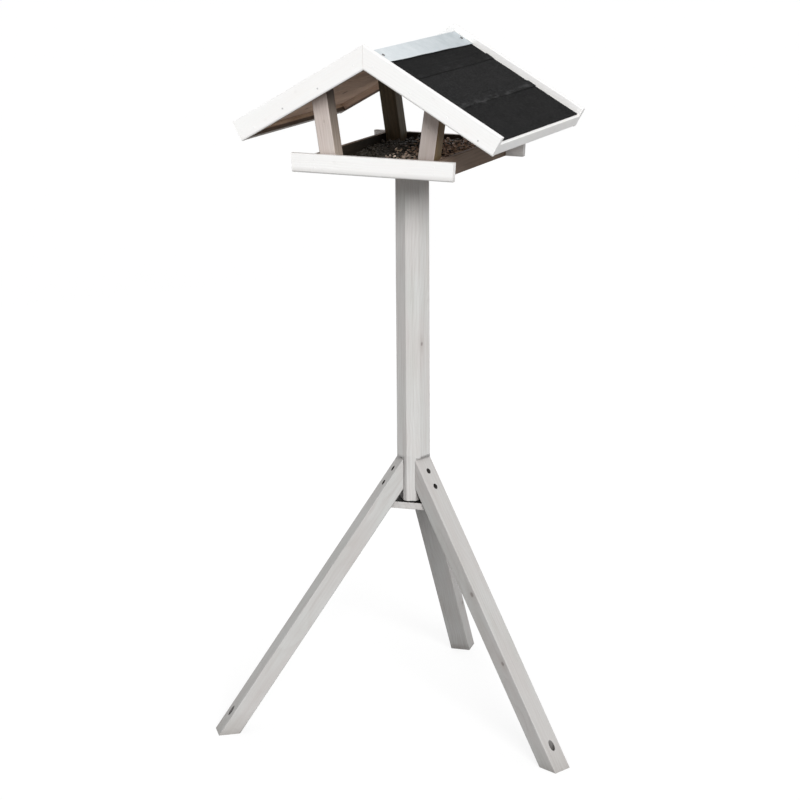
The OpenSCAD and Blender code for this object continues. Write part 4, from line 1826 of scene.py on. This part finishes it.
class Kernel(Enum):
    """The kinds of seed in the mix."""

    SUNFLOWER = "sunflower"
    PEANUT = "peanut"
    MAIZE = "maize"
    WHEAT = "wheat"
    MILLET = "millet"


@dataclass(frozen=True)
class SeedForm:
    """Size, share and colours of one kind of seed."""

    length: float
    width: float
    thickness: float
    share: float
    light: Colour
    dark: Colour
    point: float = 1.0
    waist: float = 1.0
    stripes: float = 0.0
    segments: int = 8
    rings: int = 6


@dataclass
class SeedHeap:
    """Mixed seed that fills the tray: a bed of husks with loose seeds of five kinds on it."""

    count: int = 4200
    draw: int = 1407
    bed_drop: float = 0.0045
    bed_least: float = 0.0004
    skirt: float = 0.001
    bed_shows: float = 1.1
    rim_room: float = 0.6
    stray_from: float = 0.8
    footprint: float = 0.5
    rest_rank: float = 70.0
    nestle: float = 0.55
    lump: float = 0.0010
    crest: Pair = (0.050, 0.060)
    crown_rise: float = 0.002
    dome_radius: float = 0.944
    stray_share: float = 0.22
    sizes: Pair = (0.82, 1.14)
    tilts: Pair = (0.35, 0.24)
    lit_mix_from: float = 0.34
    lit_mix_blend: float = 0.26
    lit_mix_least: float = 0.05
    notch: Pair = (0.037, 0.035)
    cell: float = 0.001
    bed_cells: tuple[int, int] = (60, 84)
    point_rings: Pair = (0.12, 0.35)
    flat_side: float = 0.86
    husk_size: float = 0.0016
    husk_depth: float = 0.0012
    husk_tones: Tones = ((0.012, 0.008, 0.005), (0.055, 0.036, 0.025))
    stripe: Colour = (0.090, 0.078, 0.056)
    skin_depth: float = 0.0003
    forms: dict[Kernel, SeedForm] = field(
        default_factory=lambda: {
            Kernel.SUNFLOWER: SeedForm(
                0.0098, 0.0050, 0.0034, 0.30, (0.018, 0.014, 0.009), (0.006, 0.005, 0.003), 0.35, stripes=1.0
            ),
            Kernel.PEANUT: SeedForm(
                0.0080, 0.0060, 0.0050, 0.26, (0.80, 0.67, 0.56), (0.42, 0.28, 0.21), 0.8
            ),
            Kernel.MAIZE: SeedForm(
                0.0070, 0.0064, 0.0040, 0.08, (0.56, 0.44, 0.32), (0.34, 0.24, 0.16), 0.55
            ),
            Kernel.WHEAT: SeedForm(
                0.0064, 0.0032, 0.0029, 0.30, (0.58, 0.47, 0.39), (0.24, 0.16, 0.12), 0.6, 0.92
            ),
            Kernel.MILLET: SeedForm(
                0.0028, 0.0024, 0.0022, 0.12, (0.32, 0.25, 0.19), (0.14, 0.085, 0.055), 0.9,
                segments=6, rings=5,
            ),
        }
    )

    def surface(self, x: Any, y: Any) -> Any:
        """Height of the heap's surface over the tray floor, at a place or an array of places.

        It is below nought where the floor is bare.
        """
        low, high = solid_box("seed_bed")
        away = (x - self.crest[0]) ** 2 + (y - self.crest[1]) ** 2
        return high.z + self.crown_rise - low.z - away / (2 * self.dome_radius)

    def clear_of_posts(self, x: float, y: float, room: float = 0.0) -> bool:
        """Says whether a place on the floor is outside the corner posts' feet."""
        low, high = solid_box("seed_bed")
        corner_x = min(x - low.x, high.x - x) < self.notch[0] + room
        corner_y = min(y - low.y, high.y - y) < self.notch[1] + room
        return not (corner_x and corner_y)

    def covered(self, x: float, y: float) -> bool:
        """Says whether the bed covers a place on the floor."""
        return self.clear_of_posts(x, y) and self.surface(x, y) > self.bed_drop * self.bed_shows

    def build(self) -> None:
        """Lays the bed and the seeds."""
        self.build_bed()
        patterns = {kind: self.model_seed(kind) for kind in Kernel}
        places = self.scatter()
        for kind, pattern in patterns.items():
            self.lay(kind, pattern, places[kind])
            Bench.scrap(pattern)

    def build_bed(self) -> None:
        """Shapes the bed of husks as a lumpy slab, cut away round the corner posts."""
        low, high = solid_box("seed_bed")
        across, along = self.bed_cells
        middle = ((low.x + high.x) / 2, (low.y + high.y) / 2, high.z)
        Bench.clear()
        bpy.ops.mesh.primitive_grid_add(
            x_subdivisions=across, y_subdivisions=along, size=1.0, location=middle
        )
        bed = Bench.named("seed_bed_husks")
        with Bench.editing(bed):
            Bench.pick("VERT", lambda v: True)
            size = (high.x - low.x, high.y - low.y, 1.0)
            bpy.ops.transform.resize(value=size, center_override=middle)
            Bench.pick("FACE", lambda f: not self.covered(*f.calc_center_median().xy))
            bpy.ops.mesh.delete(type="FACE")

        def settle(point: Vector) -> Vector:
            """Drops one corner of the grid to the lumpy bed."""
            lumps = self.lump * ripple(point, 0.017, 1.0)
            deep = max(self.bed_least, self.surface(point.x, point.y) - self.bed_drop + lumps)
            return Vector((0, 0, low.z + deep - high.z))

        Bench.drift(bed, settle)
        with Bench.editing(bed):
            bpy.ops.mesh.select_all(action="SELECT")
            Bench.draw_down(self.skirt)
            bpy.ops.transform.resize(value=(1, 1, 0), center_override=(0, 0, low.z))
            bpy.ops.mesh.select_all(action="SELECT")
            bpy.ops.mesh.normals_make_consistent(inside=False)
        Bench.finish(bed, self.husk_dust(), "seed", ["seed_bed"], smooth=60, flats=False)

    def husk_dust(self) -> Material:
        """Dark broken husk and dust between the seeds."""
        wire, material = Wiring.material("Husk dust")
        bits = wire.group(Effects.speckle(), {"Vector": wire.place(), "Grain size": self.husk_size})
        tone = wire.blend(bits["Tone"], *self.husk_tones)
        rough = wire.span(bits["Tone"], 0.0, 1.0, 0.75, 0.95)
        wire.surface(tone, rough, bits["Height"], 1.0, self.husk_depth)
        return material

    def model_seed(self, kind: Kernel) -> Piece:
        """Shapes one seed of a kind from a small ball, its length along X.

        Args:
            kind: The kind of seed.

        Returns:
            The seed, round the origin.
        """
        form = self.forms[kind]
        Bench.clear()
        bpy.ops.mesh.primitive_uv_sphere_add(
            segments=form.segments, ring_count=form.rings, radius=0.5, rotation=(0, math.pi / 2, 0)
        )
        seed = Bench.named(f"{kind.value}_seed_pattern")
        with Bench.editing(seed):
            bpy.ops.mesh.select_all(action="SELECT")
            size = (form.length, form.width, form.thickness)
            bpy.ops.transform.resize(value=size, center_override=ORIGIN)
            point = (1.0, form.point, form.point)
            for part in self.point_rings:
                Bench.pick("VERT", lambda v: v.co.x > form.length * part)
                bpy.ops.transform.resize(value=point, center_override=(form.length * 0.2, 0, 0))
            Bench.pick("VERT", lambda v: v.co.z < -form.thickness * 0.2)
            bpy.ops.transform.resize(value=(1.0, form.waist, self.flat_side), center_override=ORIGIN)
        return seed

    def scatter(self) -> dict[Kernel, list[tuple[Matrix, float]]]:
        """Lets the seeds fall one by one on the bed, each resting on what is already there.

        Returns:
            For each kind, the place of every seed and a number between 0 and 1 for its tone.
        """
        chance = random.Random(self.draw)
        low, high = solid_box("seed_bed")
        across = int((high.x - low.x) / self.cell) + 1
        along = int((high.y - low.y) / self.cell) + 1
        xs = low.x + np.arange(across) * self.cell
        ys = low.y + np.arange(along) * self.cell
        bed = self.surface(xs[:, None], ys[None, :]) - self.bed_drop
        heights = low.z + np.maximum(bed, 0.0)
        kinds = list(self.forms)
        shares = [self.forms[kind].share for kind in kinds]
        places: dict[Kernel, list[tuple[Matrix, float]]] = {kind: [] for kind in kinds}
        for _ in range(self.count):
            room = self.bed_drop * self.rim_room
            x = chance.uniform(low.x + room, high.x - room)
            y = chance.uniform(low.y + room, high.y - room)
            # Painted shade: the left of the tray, in the roof's shadow, gets black sunflower seed, and paler
            # kinds mix in only towards the right.
            from_left = (x - low.x) / (high.x - low.x)
            in_painted_shade = chance.random() > self.lit_mix_least + (from_left - self.lit_mix_from) / self.lit_mix_blend
            kind = Kernel.SUNFLOWER if in_painted_shade else chance.choices(kinds, shares)[0]
            form = self.forms[kind]
            stray = self.surface(x, y) < self.bed_drop * self.stray_from
            if not self.clear_of_posts(x, y, room * self.rim_room):
                continue
            if stray and chance.random() > self.stray_share:
                continue
            yaw = chance.uniform(0, 2 * math.pi)
            size = chance.uniform(*self.sizes)
            half = np.array((form.length, form.width, form.thickness)) * size / 2
            near = int(half[0] / self.cell) + 1
            i, j = int((x - low.x) / self.cell), int((y - low.y) / self.cell)
            window = (slice(max(0, i - near), i + near + 1), slice(max(0, j - near), j + near + 1))
            dx, dy = xs[window[0]][:, None] - x, ys[window[1]][None, :] - y
            lengthways = (dx * math.cos(yaw) + dy * math.sin(yaw)) / half[0]
            crossways = (-dx * math.sin(yaw) + dy * math.cos(yaw)) / half[1]
            ratio = lengthways**2 + crossways**2
            under = ratio < self.footprint
            if not under.any():
                continue
            patch = heights[window]
            rest = float(np.percentile(patch[under], self.rest_rank)) + half[2] * self.nestle
            turn = Euler((*(chance.gauss(0, tilt) for tilt in self.tilts), yaw))
            matrix = Matrix.LocRotScale(Vector((x, y, rest)), turn, Vector((size, size, size)))
            places[kind].append((matrix, chance.random()))
            top = rest + half[2] * np.sqrt(np.clip(1 - ratio, 0, 1))
            heights[window] = np.where(ratio < 1, np.maximum(patch, top), patch)
        return places

    def lay(self, kind: Kernel, pattern: Piece, places: Sequence[tuple[Matrix, float]]) -> None:
        """Copies the pattern to each place as one mesh, with each seed's tone and its own coordinates kept.

        Args:
            kind: The kind of seed.
            pattern: The seed that was modelled once.
            places: The place and tone of every seed.
        """
        shape = np.array([vertex.co for vertex in pattern.data.vertices])
        faces = [tuple(face.vertices) for face in pattern.data.polygons]
        ones = np.hstack([shape, np.ones((len(shape), 1))])
        points = np.vstack([(ones @ np.array(matrix).T)[:, :3] for matrix, _ in places])
        starts = range(0, len(shape) * len(places), len(shape))
        rows = [tuple(index + start for index in face) for start in starts for face in faces]
        mesh = bpy.data.meshes.new(f"{kind.value}_seeds")
        mesh.from_pydata(points.tolist(), [], rows)
        tone = mesh.attributes.new("tone", "FLOAT", "POINT")
        tone.data.foreach_set("value", np.repeat([value for _, value in places], len(shape)))
        husk = mesh.attributes.new("husk", "FLOAT_VECTOR", "POINT")
        unit = shape / np.abs(shape).max(axis=0)
        husk.data.foreach_set("vector", np.tile(unit, (len(places), 1)).ravel())
        piece = Bench.new(mesh.name, mesh)
        Bench.finish(piece, self.seed_skin(kind), "seed", smooth=80, flats=False)

    def seed_skin(self, kind: Kernel) -> Material:
        """The skin of one kind of seed, its tone differing from seed to seed."""
        form = self.forms[kind]
        wire, material = Wiring.material(f"{kind.value.title()} seed")
        tone = wire.add("Attribute", attribute_name="tone").outputs["Fac"]
        husk = wire.add("Attribute", attribute_name="husk").outputs["Vector"]
        at = wire.place()
        mottle = wire.span(wire.noise(at, 420.0, 3.0, 0.6), 0.35, 0.7)
        amount = wire.plus(wire.times(tone, 0.75), wire.times(mottle, 0.35))
        colour = wire.blend(wire.span(amount, 0.1, 1.0), form.light, form.dark)
        split = wire.add("SeparateXYZ", {0: husk})
        if form.stripes:
            angle = wire.maths("ARCTAN2", split.outputs[2], split.outputs[1])
            lines = wire.span(wire.maths("SINE", wire.times(angle, 7.0)), 0.1, 0.6)
            colour = wire.blend(wire.times(lines, 0.5), colour, self.stripe)
        tip = wire.span(split.outputs[0], 0.72, 0.98, 0.0, 0.55)
        colour = wire.blend(tip, colour, form.dark)
        wire.surface(colour, wire.span(mottle, 0.0, 1.0, 0.45, 0.7), mottle, 0.4, self.skin_depth)
        return material


# ---------------- studio


@dataclass
class Studio:
    """A pale floor, soft light and the camera."""

    eye: Triple = (1.8761, -4.1374, 1.9001)
    heading: float = math.radians(-24.7398)
    dip: float = math.radians(14.8511)
    roll: float = math.radians(-0.3705)
    lens: float = 101.8
    key_bearing: float = math.radians(38.0)
    key_height: float = math.radians(26.0)
    key_strength: float = 0.90
    key_spread: float = math.radians(24.0)
    horizon_glow: float = 0.32
    zenith_glow: float = 0.60
    floor_bounce: float = 0.34
    floor_white: float = 1.03
    floor_mix: float = 0.8
    floor_size: float = 120.0
    sensor: float = 36.0
    lamp_distance: float = 4.0
    fill_bearing: Triple = (-0.75, 0.62, 0.25)
    fill_aim: Triple = (0.0, 0.0, 0.75)
    fill_power: float = 42.0
    fill_size: float = 2.5

    def build(self) -> None:
        """Sets up the camera, the floor, the lamps and the world."""
        self.set_camera()
        self.lay_floor()
        self.hang_lamps()
        self.set_world()
        bpy.context.scene.view_settings.view_transform = "Standard"

    def set_camera(self) -> None:
        """Places the camera."""
        flat = math.cos(self.dip)
        gaze = Vector((math.sin(self.heading) * flat, math.cos(self.heading) * flat, -math.sin(self.dip)))
        level = Vector((math.cos(self.heading), -math.sin(self.heading), 0))
        upward = level.cross(gaze)
        right = level * math.cos(self.roll) + upward * math.sin(self.roll)
        top = upward * math.cos(self.roll) - level * math.sin(self.roll)
        Bench.clear()
        bpy.ops.object.camera_add()
        camera = bpy.context.object
        camera.name = "camera"
        camera.data.lens = self.lens
        camera.data.sensor_width = self.sensor
        place = Matrix((right, top, -gaze)).transposed().to_4x4()
        place.translation = self.eye
        camera.matrix_world = place
        bpy.context.scene.camera = camera

    def lay_floor(self) -> None:
        """Lays a pale floor that shows as white and keeps a faint shadow; it can't be seen from below."""
        Bench.clear()
        bpy.ops.mesh.primitive_plane_add(size=self.floor_size, location=ORIGIN)
        floor = bpy.context.object
        floor.name = "floor"
        wire, material = Wiring.material("Pale floor")
        wire.tree.nodes.clear()
        lit = wire.add("BsdfDiffuse", {"Color": (1.0, 1.0, 1.0)})
        dim = wire.add("BsdfDiffuse", {"Color": (self.floor_bounce,) * 3})
        white = wire.add("Emission", {"Color": (1.0, 1.0, 1.0), "Strength": self.floor_white})
        shown = wire.add("MixShader", {0: self.floor_mix, 1: lit.outputs[0], 2: white.outputs[0]})
        mixed = wire.add("MixShader", {0: wire.seen(), 1: dim.outputs[0], 2: shown.outputs[0]})
        clear = wire.add("BsdfTransparent")
        under = wire.add("NewGeometry").outputs["Backfacing"]
        final = wire.add("MixShader", {0: under, 1: mixed.outputs[0], 2: clear.outputs[0]})
        output = wire.add("OutputMaterial")
        wire.feed(output.inputs["Surface"], final.outputs[0])
        floor.data.materials.append(material)

    def hang_lamps(self) -> None:
        """Hangs a broad, even key lamp to the front right and a weak fill lamp to the back left."""
        flat = math.cos(self.key_height)
        right, front = math.sin(self.key_bearing) * flat, math.cos(self.key_bearing) * flat
        towards = Vector((right, -front, math.sin(self.key_height)))
        Bench.clear()
        bpy.ops.object.light_add(type="SUN", location=towards * self.lamp_distance)
        key = bpy.context.object
        key.name = "key_lamp"
        key.data.energy = math.pi * self.key_strength
        key.data.angle = self.key_spread
        key.rotation_euler = (-towards).to_track_quat("-Z", "Y").to_euler()
        behind = Vector(self.fill_bearing).normalized() * self.lamp_distance
        bpy.ops.object.light_add(type="AREA", location=Vector(self.fill_aim) + behind)
        fill = bpy.context.object
        fill.name = "fill_lamp"
        fill.data.energy = self.fill_power
        fill.data.size = self.fill_size
        fill.rotation_euler = (-behind).to_track_quat("-Z", "Y").to_euler()

    def set_world(self) -> None:
        """Lights the scene evenly, a little more from above, behind a white backdrop."""
        world = bpy.data.worlds.new("Studio")
        bpy.context.scene.world = world
        world.use_nodes = True
        world.node_tree.nodes.clear()
        wire = Wiring(world.node_tree)
        height = wire.add("SeparateXYZ", {0: wire.add("TexCoord").outputs["Generated"]}).outputs[2]
        glow = wire.span(height, 0.0, 1.0, self.horizon_glow, self.zenith_glow)
        soft = wire.add("Background", {"Color": (1.0, 1.0, 1.0), "Strength": glow})
        white = wire.add("Background", {"Color": (1.0, 1.0, 1.0), "Strength": 1.0})
        mixed = wire.add("MixShader", {0: wire.seen(), 1: soft.outputs[0], 2: white.outputs[0]})
        output = wire.add("OutputWorld")
        wire.feed(output.inputs["Surface"], mixed.outputs[0])


def main() -> None:
    """Builds and dresses the feeder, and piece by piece."""
    logging.basicConfig(level=logging.INFO, format="%(message)s")
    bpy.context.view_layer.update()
    fixings = Fixings()
    Studio().build()
    Stand().build(fixings)
    Tray().build(fixings)
    CornerPosts().build()
    Roof().build(fixings)
    SeedHeap().build()
    Bench.clear()


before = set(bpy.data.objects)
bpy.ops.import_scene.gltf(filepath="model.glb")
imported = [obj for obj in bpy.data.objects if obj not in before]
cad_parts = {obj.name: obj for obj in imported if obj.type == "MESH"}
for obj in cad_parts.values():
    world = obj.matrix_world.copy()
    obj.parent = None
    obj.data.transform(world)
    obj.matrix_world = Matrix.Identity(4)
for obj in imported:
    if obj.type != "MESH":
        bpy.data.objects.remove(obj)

if __name__ == "__main__":
    main()
